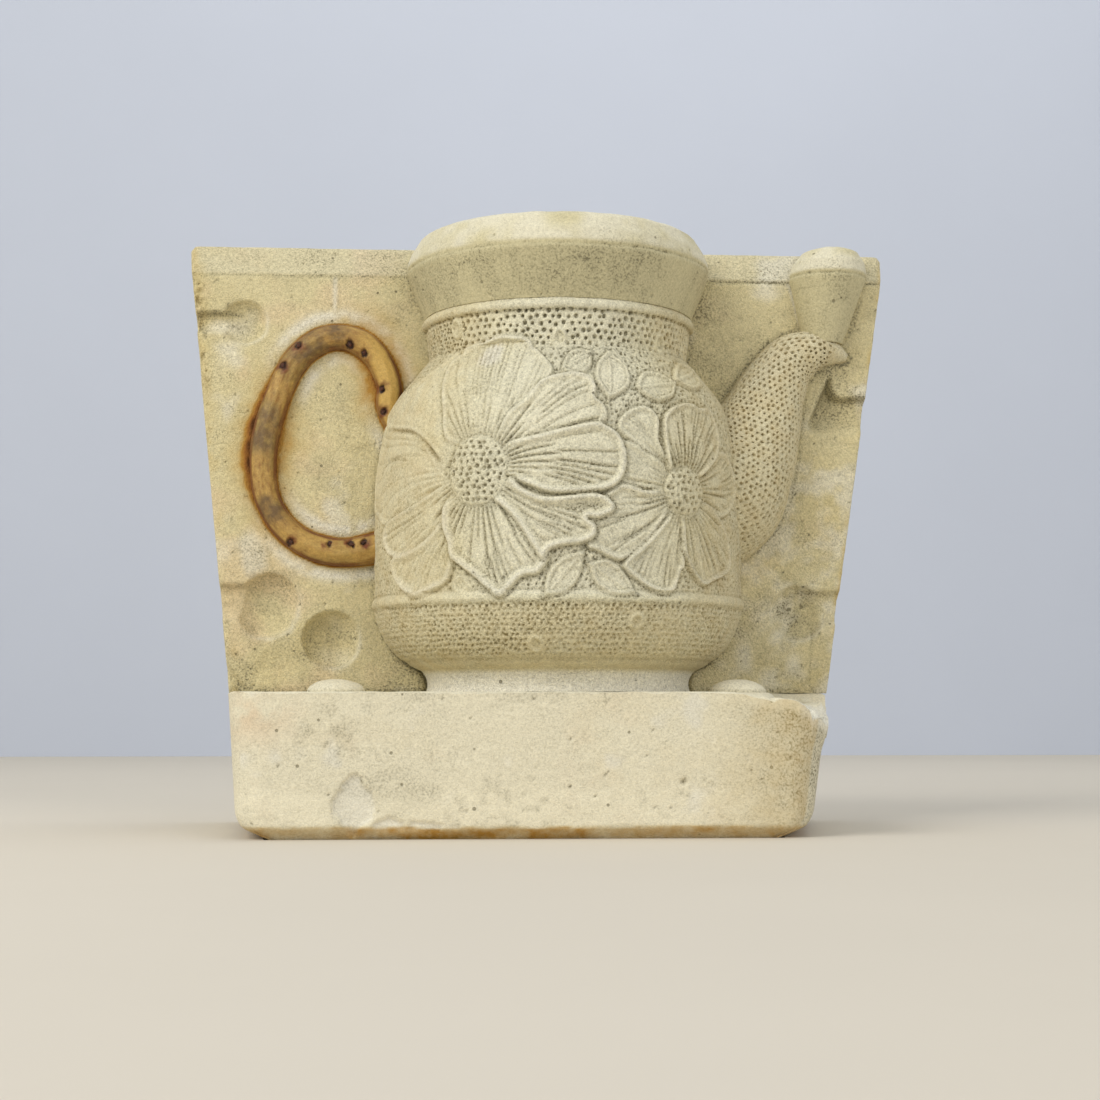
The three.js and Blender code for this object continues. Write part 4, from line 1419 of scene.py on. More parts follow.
RIGHT_FLOWER = Flower(
    (55.0, 151.0), (11.5, 10.5), 1.5, 50,
    (
        Petal(((60, 158), (76, 168), (90, 172), (100, 165), (102, 155), (94, 146), (82, 141), (66, 143)),
              0.4, 0.4, 2.2, 0.55),
        Petal(((45, 158), (36, 166), (28, 171), (22, 177), (23, 182), (29, 186.5), (35, 188.5), (40, 187),
               (43, 182),
               (42, 172), (50, 160)), 0.55, 0.5, 2.2, 0.4),
        Petal(((44, 161), (36, 166), (25, 172), (12, 172), (10, 152), (20, 152), (36, 150.5), (46, 151)),
              0.45, 0.3, 2.0, 0.35),
        Petal(((46, 151), (34, 150), (20, 152), (9, 140), (6, 126), (12, 122.5), (20, 119), (27, 121), (33,
               125.5),
               (39, 133), (46, 143)), 0.75, 0.9, 2.6, 0.5),
        Petal(((50, 145), (40, 134), (32, 126), (23, 118), (25, 113.5), (30, 110), (35, 107), (41, 105),
               (47, 106),
               (50, 110.5), (52, 115.5), (54, 119), (54, 142)), 1.0, 0.9, 2.3, 0.5),
        Petal(((53, 143), (53, 126), (56, 119), (61, 113), (67, 109.5), (75, 112), (82, 114), (88, 117),
               (89.5, 124),
               (87, 132), (81, 139), (70, 146), (60, 148)), 1.05, 0.8, 2.0, 0.5),
        Petal(((48, 158), (45, 168), (45, 180), (48, 186), (55, 190), (64, 192), (72, 190.5), (79, 191),
               (83, 188),
               (84.5, 178), (81, 169), (73, 163), (62, 157)), 1.1, 0.7, 1.9, 0.6, True),
    ),
)
LEAVES = (
    Leaf(((18, 190.5), (18, 190.5), (13, 200), (16, 209), (24, 214.5), (24, 214.5), (32, 207), (29, 197)),
          (18, 191), (24, 214)),
    Leaf(((33, 197), (33, 197), (39, 204), (48, 206), (61, 202), (61, 202), (54, 194), (42, 191.5)), (34,
          197), (60, 201)),
    Leaf(((61, 203), (61, 203), (70, 210), (82, 214), (95, 212), (95, 212), (88, 204), (74, 200)), (62,
          203), (94, 211)),
    Leaf(((-5, 204), (-5, 204), (-1, 212), (6, 215.5), (14, 214), (14, 214), (11, 206), (4, 202)), (-4,
          205), (13, 213)),
    Leaf(((-12, 103), (-12, 103), (-11, 112), (-5, 119.5), (5, 123), (5, 123), (3, 112), (-3, 105)), (-12,
          103), (4, 122)),
    Leaf(((7, 117.5), (7, 117.5), (16, 119), (24, 113), (28, 104.5), (28, 104.5), (19, 104), (11, 108)), (8,
          117), (27, 105)),
)
RIDGES = (
    Ridge(((-114, 184), (-98, 181.5), (-85, 179.5), (-75, 174.5), (-66, 167), (-58, 161)), -0.9, 0.85),
    Ridge(((-118, 157), (-110, 166), (-96, 168), (-84, 166)), -0.8, 0.8),
    Ridge(((43, 176), (46, 172), (50, 166)), 0.9, 1.3),
    Ridge(((36, 204), (48, 208), (60, 210), (74, 213.5), (92, 214.5)), 0.7, 1.2),
    Ridge(((-4, 140.5), (6, 142), (13, 143)), -0.9, 0.9),
    Ridge(((2, 131), (-3, 133), (-10, 135)), -0.5, 0.9),
    Ridge(((88, 200), (95, 190), (99, 178), (100, 166)), 0.5, 1.2),
    Ridge(((94, 128), (97, 116), (99, 106)), 0.5, 1.3),
)
LIPS = (
    Ridge(((-70, 214), (-65, 218), (-56, 220), (-44, 222), (-34, 221.5), (-27, 220), (-21, 215), (-15,
           210.5)), 1.0, 1.8),
    Ridge(((-25, 187), (-17, 195), (-10, 199.5), (1, 201), (8, 199.5), (11, 195.5), (10.5, 191), (14,
           187.5)), 0.6, 1.5),
    Ridge(((-102, 137), (-104, 131), (-98, 125), (-87, 123.5), (-75, 126.5)), 0.45, 1.6),
    Ridge(((-94, 114), (-87, 109.5), (-77, 105.5), (-68, 107.5), (-61, 110.5)), 0.5, 1.8),
)
RINGS = (
    (-79.0, 228.5, 4.4), (-5.0, 221.0, 4.2), (68.0, 222.0, 4.2), (-17.0, 83.0, 3.6), (30.0, 93.0, 3.4),
    (-51.0, 109.0, 3.8)
)


@dataclass
class FloralRelief:
    """The modelled surface of the teapot: how far it stands out, and how dirty its hollows are."""

    band_bottom: float = 106.5

    def height(self, u: Values, z: Values, arc: Values) -> tuple[Values, Values, Values]:
        """Return the relief at points of the teapot.

        Args:
            u: Millimetres round the belly from its middle.
            z: Height above the bench.
            arc: True millimetres round the wall at that height.

        Returns:
            The height over the plain wall, the dirt in the hollows and how rubbed pale the crests are.
        """
        lift, grime_and_shade = self._ground(u, z, arc)
        chalk_and_highlight = np.zeros_like(u)
        for ridge in RIDGES:
            if ridge.height > 0:
                lift = lift + ridge.height * self._ridge(ridge, u, z)
        for leaf in LEAVES:
            lift, grime_and_shade = self._leaf(leaf, u, z, lift, grime_and_shade)
        for flower in (RIGHT_FLOWER, LEFT_FLOWER):
            for number, petal in enumerate(flower.petals):
                lift, grime_and_shade, chalk_and_highlight = self._petal(flower, petal, number, u, z, lift, grime_and_shade, chalk_and_highlight)
            lift, grime_and_shade = self._disc(flower, u, z, lift, grime_and_shade)
        for ridge in RIDGES:
            if ridge.height < 0:
                shape = self._ridge(ridge, u, z, taper=0.15)
                lift = lift + ridge.height * shape
                grime_and_shade = np.maximum(grime_and_shade, 0.6 * shape)
        for lip in LIPS:
            shape = self._ridge(lip, u, z)
            lift = lift + lip.height * shape
            grime_and_shade = grime_and_shade * (1.0 - 0.7 * shape)
            chalk_and_highlight = np.maximum(chalk_and_highlight, 0.45 * shape)
        worn = smooth(1.2, 0.4, np.hypot((u + 47.0) / 9.0, (z - 213.0) / 6.5) + 0.3 * patchy(u, z, 5.0, 116))
        chalk_and_highlight = np.maximum(chalk_and_highlight, 0.9 * worn)
        lift = lift + 0.35 * patchy(u, z, 5.5, 117) * smooth(self.band_bottom, self.band_bottom + 6.0, z)
        for x0, z0, radius in RINGS:
            gap = np.hypot(u - x0, z - z0)
            cover = smooth(radius + 1.2, radius + 0.2, gap)
            button = 0.75 * hump(gap, radius - 0.7, 0.75) + 0.15
            button -= 0.5 * hump(np.hypot(u - x0 - 0.9, z - z0 + 0.8), 1.2, 0.9)
            lift = lift * (1 - cover) + button * cover
            grime_and_shade = grime_and_shade * (1 - cover) + 0.35 * hump(gap, radius - 2.2, 0.7) * cover
        return lift, grime_and_shade, chalk_and_highlight

    @staticmethod
    def _ridge(ridge: Ridge, u: Values, z: Values, taper: float = 0.12) -> Values:
        """Return how much of a ridge is at each point, thinning out over the taper at both ends."""
        gap, along = line_distance(rounded_line(ridge.line, 5), u, z)
        return hump(gap, 0.0, ridge.width) * smooth(0.0, taper, along) * smooth(1.0, 1.0 - taper, along)

    def _ground(self, u: Values, z: Values, arc: Values) -> tuple[Values, Values]:
        """Return the stippled ground of the neck, the belly and the lower band."""
        lift = 0.12 * patchy(u, z, 14.0, 111)
        grime_and_shade = np.zeros_like(u)
        far_left = smooth(-66.0, -78.0, u)
        neck = smooth(216.0, 219.5, z) * smooth(234.6, 233.4, z)
        big = stipple(arc, z, 3.5, 0.9, 112, 0.2)
        small = stipple(arc, z, 2.3, 0.62, 113, 0.3)
        dots = smooth(1.1, 0.6, np.where(far_left > 0.5, small, big))
        lift = lift - 1.35 * dots * neck + 0.75 * hump(z, 236.2, 1.9) * smooth(232.8, 234.2, z)
        grime_and_shade = np.maximum(grime_and_shade, 0.95 * dots * neck + 0.22 * far_left * neck)
        belly = smooth(self.band_bottom, self.band_bottom + 0.8, z) * smooth(217.5, 216.0, z)
        dots = smooth(1.1, 0.5, stipple(arc, z, 2.9, 0.68, 114, 0.3))
        lift = lift - 0.85 * dots * belly
        grime_and_shade = np.maximum(grime_and_shade, 0.8 * dots * belly + 0.18 * belly)
        lower = smooth(76.5, 79.5, z) * smooth(101.2, 100.0, z)
        comb = stipple(arc, z, 2.45, 0.72, 115, 0.25)
        heel = smooth(0.9, 0.2, stipple(arc, z + 0.5, 2.45, 0.72, 115, 0.25))
        crescent = smooth(1.15, 0.5, comb) * (1 - 0.35 * heel)
        lift = lift - 0.85 * crescent * lower + 0.2 * lower
        uneven = 0.35 + 0.65 * smooth(-0.35, 0.45, patchy(arc, z, 16.0, 118))
        grime_and_shade = np.maximum(grime_and_shade, 0.72 * crescent * lower * uneven + 0.14 * lower)
        row = smooth(1.1, 0.5, np.hypot((arc % 3.3) - 1.65, z - 99.2) / 0.85)
        lift = lift - 0.8 * row
        grime_and_shade = np.maximum(grime_and_shade, 0.8 * row)
        foot_groove = hump(z, 76.3, 1.1)
        lift = lift - 0.35 * foot_groove
        grime_and_shade = np.maximum(grime_and_shade, 0.35 * foot_groove)
        for line, deep in ((101.0, 0.45), (106.3, 0.55), (233.4, 0.45), (239.0, 0.3), (218.0, 0.25)):
            shade = hump(z, line, 0.7)
            lift = lift - deep * 0.5 * shade
            grime_and_shade = np.maximum(grime_and_shade, deep * shade)
        return lift, grime_and_shade

    def _leaf(self, leaf: Leaf, u: Values, z: Values, lift: Values, grime_and_shade: Values) -> tuple[Values, Values]:
        """Return the surface with one leaf laid on it."""
        near, gap = inside_distance(rounded_loop(leaf.outline), u, z, 4.0)
        lift, grime_and_shade = lift.copy(), grime_and_shade.copy()
        px, pz = u[near], z[near]
        cover = smooth(-0.6, 0.35, gap)
        rib, along = line_distance(np.array([leaf.stalk, leaf.tip], float), px, pz)
        veins = 0.5 + 0.5 * np.cos(2 * math.pi * (along * 5.0 - rib * 0.16))
        body = (
            0.55 + 0.75 * hump(gap, 1.0, 0.8) + 0.45 * hump(rib, 0.0, 0.6)
            - 0.28 * veins**3 * smooth(0.8, 1.8, rib)
        )
        lift[near] = lift[near] * (1 - cover) + body * cover
        crease = np.maximum(0.75 * hump(gap, -0.7, 0.7), 0.45 * hump(gap, 2.2, 0.6))
        crease = np.maximum(crease, 0.35 * hump(rib, 1.1, 0.5) * cover)
        grime_and_shade[near] = np.maximum(grime_and_shade[near] * (1 - cover), crease)
        lift[near] -= 0.4 * hump(gap, -0.9, 0.8)
        return lift, grime_and_shade

    def _petal(
        self, flower: Flower, petal: Petal, number: int, u: Values, z: Values, lift: Values, grime_and_shade: Values,
        chalk_and_highlight: Values
    ) -> tuple[Values, Values, Values]:
        """Return the surface with one petal laid on it."""
        near, gap = inside_distance(rounded_loop(petal.outline), u, z, 5.0)
        lift, grime_and_shade, chalk_and_highlight = lift.copy(), grime_and_shade.copy(), chalk_and_highlight.copy()
        dx, dz = u[near] - flower.centre[0], z[near] - flower.centre[1]
        out = np.hypot(dx, dz)
        angle = np.arctan2(dz, dx)
        start = max(flower.disc)
        outer = smooth(start * 0.95, start + 9.0, out)
        if petal.bound_edges:
            outer = smooth(start * 0.9, start + 3.0, out)
        cover = smooth(-0.55, 0.35, gap)
        grooves = self._grooves(flower, number, angle, out, start)
        wide = petal.rim_width
        edge = petal.rim * hump(gap, wide * 0.45, wide * 0.42) * outer
        inner_dip = -0.35 * hump(gap, wide * 1.35, wide * 0.4) * outer
        clear = smooth(wide * 0.75, wide * 1.5, gap) * outer + (1 - outer)
        body = petal.level + edge + inner_dip - petal.groove * 2.5 * grooves * clear
        body += 0.5 * smooth(start + 22.0, start, out) * smooth(start - 2.0, start + 6.0, out)
        lift[near] = lift[near] * (1 - cover) + body * cover
        lift[near] -= 0.6 * petal.crease * hump(gap, -0.9, 0.9) * outer
        under = 0.75 * petal.crease * hump(gap, -0.75, 0.75) * (0.35 + 0.65 * outer)
        inside = np.maximum(
            0.3 * petal.rim * hump(gap, wide * 1.3, 0.7) * outer, petal.groove * 1.55 * grooves * clear
        )
        grime_and_shade[near] = np.maximum(grime_and_shade[near] * (1 - cover), np.maximum(under, inside * cover))
        rubbed = 0.42 * min(petal.rim, 1.2) * cover * hump(gap, wide * 0.45, wide * 0.5) * outer
        chalk_and_highlight[near] = np.maximum(chalk_and_highlight[near] * (1 - cover), rubbed)
        return lift, grime_and_shade, chalk_and_highlight

    @staticmethod
    def _grooves(
        flower: Flower, number: int, angle: Values, out: Values, start: float
    ) -> Values:
        """Return the fan of tooled grooves, whose depth and dirt run from 0 to 1 together."""
        draw = np.random.default_rng(200 + number + 31 * flower.rays).uniform(
            0.0, 1.0, (flower.rays * 2 + 2, 3)
        )
        bend = 0.07 * np.sin(out * 0.06 + number * 1.7)
        turn = (angle + bend) / (2 * math.pi) * flower.rays
        ray = np.floor(turn).astype(int)
        across = turn - ray - 0.5
        width_mm = out * 2 * math.pi / flower.rays
        inner_draw = draw[ray % len(draw)]
        reach = start + 9.0 + 26.0 * inner_draw[..., 0]
        line = np.exp(-((across * width_mm / 0.58) ** 2))
        fade = smooth(start - 1.5, start + 1.0, out) * smooth(reach, reach - 9.0, out)
        grooves = line * fade * (0.55 + 0.45 * inner_draw[..., 1])
        fine = turn * 2.0
        fine_ray = np.floor(fine).astype(int)
        fine_across = fine - fine_ray - 0.5
        fine_draw = draw[(fine_ray * 7 + 3) % len(draw)]
        tip_line = np.exp(-((fine_across * width_mm / 2 / 0.6) ** 2)) * (fine_draw[..., 2] > 0.35)
        begin = start + 12.0 + 10.0 * fine_draw[..., 0]
        tips = tip_line * smooth(begin, begin + 5.0, out) * (0.4 + 0.5 * fine_draw[..., 1])
        return np.maximum(grooves, 0.8 * tips)

    @staticmethod
    def _disc(flower: Flower, u: Values, z: Values, lift: Values, grime_and_shade: Values) -> tuple[Values, Values]:
        """Return the surface with the flower's pricked disc on it."""
        dx, dz = (u - flower.centre[0]) / flower.disc[0], (z - flower.centre[1]) / flower.disc[1]
        reach = np.hypot(dx, dz)
        cover = smooth(1.06, 0.92, reach)
        dome = 0.7 + flower.disc_height * np.sqrt(np.clip(1.0 - reach**2, 0.0, 1.0))
        holes = smooth(1.1, 0.55, stipple(u + 3.0, z, 3.3, 0.88, 121, 0.24)) * smooth(1.0, 0.9, reach)
        lumps = 0.3 * patchy(u, z, 2.6, 122)
        lift = lift * (1 - cover) + (dome + lumps - 1.15 * holes) * cover
        rim = hump(reach, 1.04, 0.05)
        lift = lift - 0.4 * rim
        grime_and_shade = np.maximum(grime_and_shade * (1 - cover), np.maximum(0.85 * holes * cover + 0.12 * cover, 0.5 * rim))
        return lift, grime_and_shade


# ---------------------------------------------------------------- turned and swept forms


@dataclass
class Teapot:
    """The half teapot, made as three bands that share one drawing."""

    datum: Datum
    outlines: CaseOutlines
    relief: FloralRelief
    seat: float = SEAT
    belly_radius: float = 87.0
    columns: int = 432
    bands: tuple[tuple[str, float, float, float], ...] = (
        ("teapot_foot", 62.3, 101.0, 0.6),
        ("teapot_belly", 101.0, 216.0, 0.6),
        ("teapot_neck", 216.0, 239.0, 0.42),
    )

    def build(self, finishes: Finishes) -> None:
        """Build and dress each band."""
        for name, low, high, cell in self.bands:
            self._band(name, low, high, cell, finishes)

    def _band(self, name: str, low: float, high: float, cell: float, finishes: Finishes) -> None:
        """Build one band between two heights."""
        wall = even_steps(self.outlines.pot_wall, 0.25)
        run = np.gradient(wall, axis=0)
        size = np.hypot(run[:, 0], run[:, 1])
        lengths = np.concatenate([[0], np.cumsum(np.hypot(*np.diff(wall, axis=0).T))])
        start, end = np.interp([low, high], wall[:, 1], lengths)
        rows = int(round((end - start) / cell))
        bm, across, up = flat_grid(self.columns, rows)
        turn = (across - 0.5) * math.pi
        turn = turn - 0.11 * np.sin(2 * turn)
        place_on = start + (end - start) * up
        radius = np.interp(place_on, lengths, wall[:, 0])
        z = np.interp(place_on, lengths, wall[:, 1])
        out_r = np.interp(place_on, lengths, run[:, 1] / size)
        out_z = np.interp(place_on, lengths, -run[:, 0] / size)
        lift, grime_and_shade, chalk_and_highlight = self.relief.height(turn * self.belly_radius, z, turn * radius)
        lift = lift - 0.7 * smooth(107.0, 112.0, z) * smooth(216.0, 208.0, z)
        foot = smooth(73.0, 70.0, z)
        lift = lift + foot * 0.3 * patchy(turn * radius, z, 9.0, 131)
        grime_and_shade = np.maximum(grime_and_shade, 0.16 * smooth(-0.1, 0.6, patchy(turn * radius, z, 15.0, 132)))
        # painted shade: the right side of the pot is darker, away from the light; the neck is also darker
        # along both back edges
        grime_and_shade = grime_and_shade + 0.05 * smooth(0.5, 1.4, turn) + 0.10 * smooth(1.2, 1.5, np.abs(turn)) * (z > 216)
        grime_and_shade = grime_and_shade * (1.0 - 0.85 * foot)
        # the foot is whiter plaster, with painted light against the shade the belly and block cast on it; the
        # middle front of the belly gets a painted highlight
        chalk_and_highlight = np.maximum(chalk_and_highlight, np.maximum(0.95 * foot, 0.22 * smooth(0.7, 0.2, np.abs(turn)) * (z > 104)))
        x = (radius + lift * out_r) * np.sin(turn)
        y = -(radius + lift * out_r) * np.cos(turn)
        y = np.where(back_rim(across), self.seat, y)
        points = np.stack([x, y, z + lift * out_z * smooth(0.0, 0.03, up) * smooth(1.0, 0.97, up)], 1)
        self.datum.shape(bm, points)
        close_half(bm, self.columns, rows)
        stain_and_shade = 0.11 * np.maximum(smooth(0.3, 0.9, np.abs(turn)), 0.9 * smooth(104.0, 98.0, z)) * (1 - foot)
        marks = {"grime_and_shade": np.clip(grime_and_shade, 0, 1), "chalk_and_highlight": np.clip(chalk_and_highlight, 0, 1), "stain_and_shade": stain_and_shade}
        place(name, bm, Body.CASE, finishes.relief, ("half_teapot",), marks)


@dataclass
class HalfCone:
    """A turned half form over an opening: the pouring spare or the spout's sprue."""

    datum: Datum
    name: str
    node: str
    middle: float
    wall: tuple[tuple[float, float], ...]
    columns: int
    cell: float
    seed: int
    seam: float
    edge_soft: float = 1.6
    lean: float = 0.0
    seat: float = SEAT

    def build(self, material: bpy.types.Material) -> None:
        """Build and dress the form."""
        line = even_steps(np.array(self.wall, float), self.cell)
        rows = len(line) - 1
        bm, across, up = flat_grid(self.columns, rows)
        turn = (across - 0.5) * math.pi
        spot = up * rows
        index = np.arange(rows + 1)
        radius, z = np.interp(spot, index, line[:, 0]), np.interp(spot, index, line[:, 1])
        arc = turn * self.wall[1][0]
        rim_z = self.wall[1][1]
        wave = 0.35 * patchy(arc, z * 0, 22.0, self.seed)
        off_rim = z - rim_z - wave
        radius = radius - self.edge_soft * 0.55 * hump(off_rim, 0.0, self.edge_soft)
        crown = smooth(self.edge_soft * 1.5, 0.0, self.wall[-1][1] - z)
        radius = radius - crown * self.edge_soft * 0.8
        z = z - crown * 0.25 * (1 + patchy(arc, z * 0, 9.0, self.seed + 1))
        lift = 0.3 * patchy(arc, z, 18.0, self.seed + 2) + 0.14 * patchy(arc, z, 4.0, self.seed + 3)
        ragged = smooth(-0.1, 0.5, patchy(arc, z, 4.5, self.seed + 4))
        fade = 0.4 + 0.6 * smooth(-0.4, 0.3, patchy(arc, z * 0, 26.0, self.seed + 5))
        scar = hump(off_rim, -0.4, 0.65) * (0.5 + 0.5 * ragged) * fade
        below = smooth(0.0, -2.5, off_rim)
        pits = smooth(0.9, 0.3, stipple(arc, z, 19.0, 0.8, self.seed + 6, 0.45))
        lift = lift - 0.8 * scar * self.seam - 0.7 * pits
        streak = smooth(-0.15, 0.7, patchy(arc, z * 0.35, 11.0, self.seed + 7)) * below
        grime_and_shade = np.maximum(0.85 * scar * self.seam, 0.6 * pits)
        scratch = (
            hump(z - rim_z + 7.0 + 0.012 * arc, 0.0, 0.6)
            * smooth(0.0, 0.3, patchy(arc, z * 0, 24.0, self.seed + 9))
        )
        grime_and_shade = np.maximum(grime_and_shade, 0.30 * streak + 0.10 * below + 0.3 * scratch * self.seam * (turn < 0.2))
        chalk_and_highlight = 0.5 * smooth(0.4, 2.0, off_rim) * smooth(-0.8, 0.3, patchy(arc, z, 20.0, self.seed + 8))
        x = self.middle + self.lean * (z - rim_z) + (radius + lift) * np.sin(turn)
        y = -(radius + lift) * np.cos(turn)
        rim = back_rim(across)
        y = np.where(rim, self.seat, y)
        # the back rim follows the slab's leaning strip and ends under its top, so that no gap shows
        points = np.stack([x, y, np.minimum(z, self.wall[-1][1])], 1)
        points[:, 1] += BEVEL_DEPTH * smooth(BEVEL_START, SLAB_TOP, z) * rim
        points[:, 2] = np.where(rim, np.minimum(points[:, 2], SLAB_TOP - TOP_SINK), points[:, 2])
        self.datum.shape(bm, points)
        close_half(bm, self.columns, rows)
        marks = {"grime_and_shade": np.clip(grime_and_shade, 0, 1), "chalk_and_highlight": np.clip(chalk_and_highlight, 0, 1)}
        place(self.name, bm, Body.CASE, material, (self.node,), marks)


@dataclass
class HalfTube:
    """A half-round form swept along a line on the slab face."""

    line: Values
    columns: int
    step: float

    def sweep(self) -> tuple[bmesh.types.BMesh, int, Values, Values, Values, Values, Values]:
        """Return the bent grid before it is shaped.

        Returns:
            The bmesh, its rows, each vertex's middle point, its direction out, its length along, its place
            across from -1 to 1, and its half width.
        """
        line = even_steps(self.line, self.step)
        rows = len(line) - 1
        bm, across, up = flat_grid(self.columns, rows)
        run = np.gradient(line[:, :2], axis=0)
        run /= np.linalg.norm(run, axis=1, keepdims=True)
        row = np.rint(up * rows).astype(int)
        middle, way, half = line[row, :2], run[row], line[row, 2]
        turn = (across - 0.5) * math.pi
        flat = np.sin(turn)
        out = np.stack([way[:, 1] * flat, -np.cos(turn), -way[:, 0] * flat], 1)
        return bm, rows, middle, out, row * self.step, flat, half


@dataclass
class Spout:
    """The half spout, pricked all over, with its beak against the sprue."""

    datum: Datum
    outlines: CaseOutlines
    columns: int = 150
    step: float = 0.5

    def build(self, finishes: Finishes) -> None:
        """Build and dress the spout."""
        tube = HalfTube(self.outlines.spout_line, self.columns, self.step)
        bm, rows, middle, out, along, flat, half = tube.sweep()
        arc = np.arcsin(np.clip(flat, -1, 1)) * np.maximum(half, 6.0)
        dots = smooth(1.12, 0.6, stipple(arc, along, 3.0, 0.66, 141, 0.17))
        edge_fade = smooth(0.995, 0.93, np.abs(flat)) * smooth(5.5, 8.5, half)
        lift = -1.2 * dots * edge_fade + 0.12 * patchy(arc, along, 10.0, 142)
        # painted shade on the spout's lower-right flank, away from the light
        grime_and_shade = 1.1 * dots * edge_fade + 0.04 + 0.08 * smooth(0.5, 1.0, flat)
        grime_and_shade = np.maximum(grime_and_shade, 0.3 * smooth(0.94, 1.0, np.abs(flat)))
        size = half + lift
        points = np.stack([middle[:, 0], np.zeros_like(size), middle[:, 1]], 1) + out * size[:, None]
        points[:, 1] *= 1.0 + 0.25 * smooth(112.0, 128.0, middle[:, 0])
        points[:, 1] = np.where(np.abs(flat) > TUBE_RIM, SEAT, points[:, 1])
        self.datum.shape(bm, points)
        close_half(bm, self.columns, rows)
        # painted highlight on the spout's upper-left flank, facing the light
        marks = {"grime_and_shade": np.clip(grime_and_shade, 0, 1), "chalk_and_highlight": 0.15 * smooth(0.2, -0.6, flat),
        "stain_and_shade": 0.12 + 0 * flat}
        place("spout_body", bm, Body.CASE, finishes.relief, ("spout",), marks)


PINS = tuple(f"handle_pin_{i}" for i in range(1, 11))


@dataclass
class Brads:
    """The brads through the handle form, their heads eaten away by rust."""

    datum: Datum
    names: tuple[str, ...] = PINS
    shank: float = 0.78
    head: float = 1.45
    steps: int = 28

    def build(self, finishes: Finishes) -> None:
        """Build every brad by spinning its profile, then pit it."""
        for number, name in enumerate(self.names):
            low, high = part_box(name)
            x, _, z = self.datum.centre(name)
            near, far = low[1] / MM - self.datum.face_y, high[1] / MM - self.datum.face_y
            head, shank = self.head, self.shank
            outline = (
                (0.0, 0.0), (head * 0.45, 0.08), (head * 0.8, 0.3), (head, 0.8), (head * 0.95, 1.3), (shank,
                1.7),
                (shank, far - near - 1.2), (0.0, far - near),
            )
            bm = turned([(radius, depth, 0.0) for radius, depth in outline], (0, 1, 0), self.steps)
            at = spots(bm)
            eaten = (
                0.78 + 0.5 * patchy(at[:, 0] + 9 * number, at[:, 2], 1.3, 190) * smooth(2.0, 1.5, at[:, 1])
            )
            sink = 0.35 * (1 + patchy(at[:, 0] - 9 * number, at[:, 2], 1.0, 191)) * smooth(1.6, 0.0, at[:, 1])
            points = np.stack([at[:, 0] * eaten + x, at[:, 1] + sink + near, at[:, 2] * eaten + z], 1)
            self.datum.shape(bm, points)
            place(f"brad_{number + 1}", bm, Body.CASE, finishes.iron, (name,))


@dataclass
class HandleForm:
    """The handle form: a twig-like half loop in shellacked plaster, held by brads."""

    datum: Datum
    outlines: CaseOutlines
    pin_names: tuple[str, ...] = PINS
    smoked: tuple[tuple[float, float, float], ...] = (
        (-112.0, 231.0, 13.0), (-122.0, 224.0, 7.0), (-138.5, 186.0, 11.0), (-134.0, 148.0, 9.0),
    )
    height: float = 7.2
    columns: int = 44
    step: float = 0.6

    def build(self, finishes: Finishes) -> None:
        """Build and dress the handle form."""
        tube = HalfTube(self.outlines.handle_line, self.columns, self.step)
        bm, rows, middle, out, along, flat, half = tube.sweep()
        knots = 0.35 * patchy(along, flat * 3.0, 26.0, 151) + 0.18 * patchy(along, flat * 8.0, 9.0, 152)
        cords = 0.16 * np.sin(flat * 9.0 + 0.9 * patchy(along, flat * 0, 18.0, 153) * 3.0)
        size = half + knots * 0.6
        x = middle[:, 0] + out[:, 0] * size
        z = middle[:, 1] + out[:, 2] * size
        lie = np.sqrt(np.clip(1 - flat**2, 0, 1)) ** 0.85
        y = -(self.height - 0.4 + knots + cords) * lie
        groove = hump(np.abs(flat), 0.86, 0.045)
        y = y + 0.55 * groove
        pit, scab = np.zeros_like(x), np.zeros_like(x)
        for number, name in enumerate(self.pin_names):
            px, _, pz = self.datum.centre(name)
            gap = np.hypot(x - px, z - pz)
            pit = np.maximum(pit, smooth(2.3, 1.1, gap + 1.3 * patchy(x, z, 2.4, 160 + number)))
            scab = np.maximum(scab, smooth(4.6, 1.6, gap + 2.2 * patchy(x, z, 3.6, 180 + number)))
        scars = smooth(0.35, 0.65, patchy(along, flat * 7.0, 5.0, 154))
        pit = np.maximum(pit, 0.55 * scars * smooth(0.3, 0.7, patchy(along, flat * 2, 40.0, 155)))
        y = y + 1.5 * pit * lie
        y = np.where(np.abs(flat) > TUBE_RIM, SEAT, np.minimum(y, 0.4))
        edge = np.maximum(0.9 * smooth(0.70, 0.95, np.abs(flat)), 0.95 * groove)
        edge = edge * (0.35 + 0.65 * smooth(-0.35, 0.3, patchy(along, flat * 9, 17.0, 156)))
        smoke = np.zeros_like(x)
        for sx, sz, reach in self.smoked:
            smoke = np.maximum(smoke, smooth(1.3, 0.6, np.hypot(x - sx, z - sz) / reach))
        honeyed = smooth(-99.0, -84.0, x) * smooth(0.9, 0.5, np.abs(flat)) * smooth(128.0, 190.0, z)
        honeyed = np.maximum(honeyed, 0.45 * smooth(142.0, 133.0, z) * smooth(0.95, 0.3, flat))
        self.datum.shape(bm, np.stack([x, y, z], 1))
        close_half(bm, self.columns, rows)
        marks = {
            "along": along, "across": flat, "edge": np.clip(edge, 0, 1), "pit": np.clip(pit, 0, 1),
            "scab": scab, "smoke": smoke, "honeyed": honeyed,
        }
        place("handle_form", bm, Body.CASE, finishes.amber, ("handle",), marks)


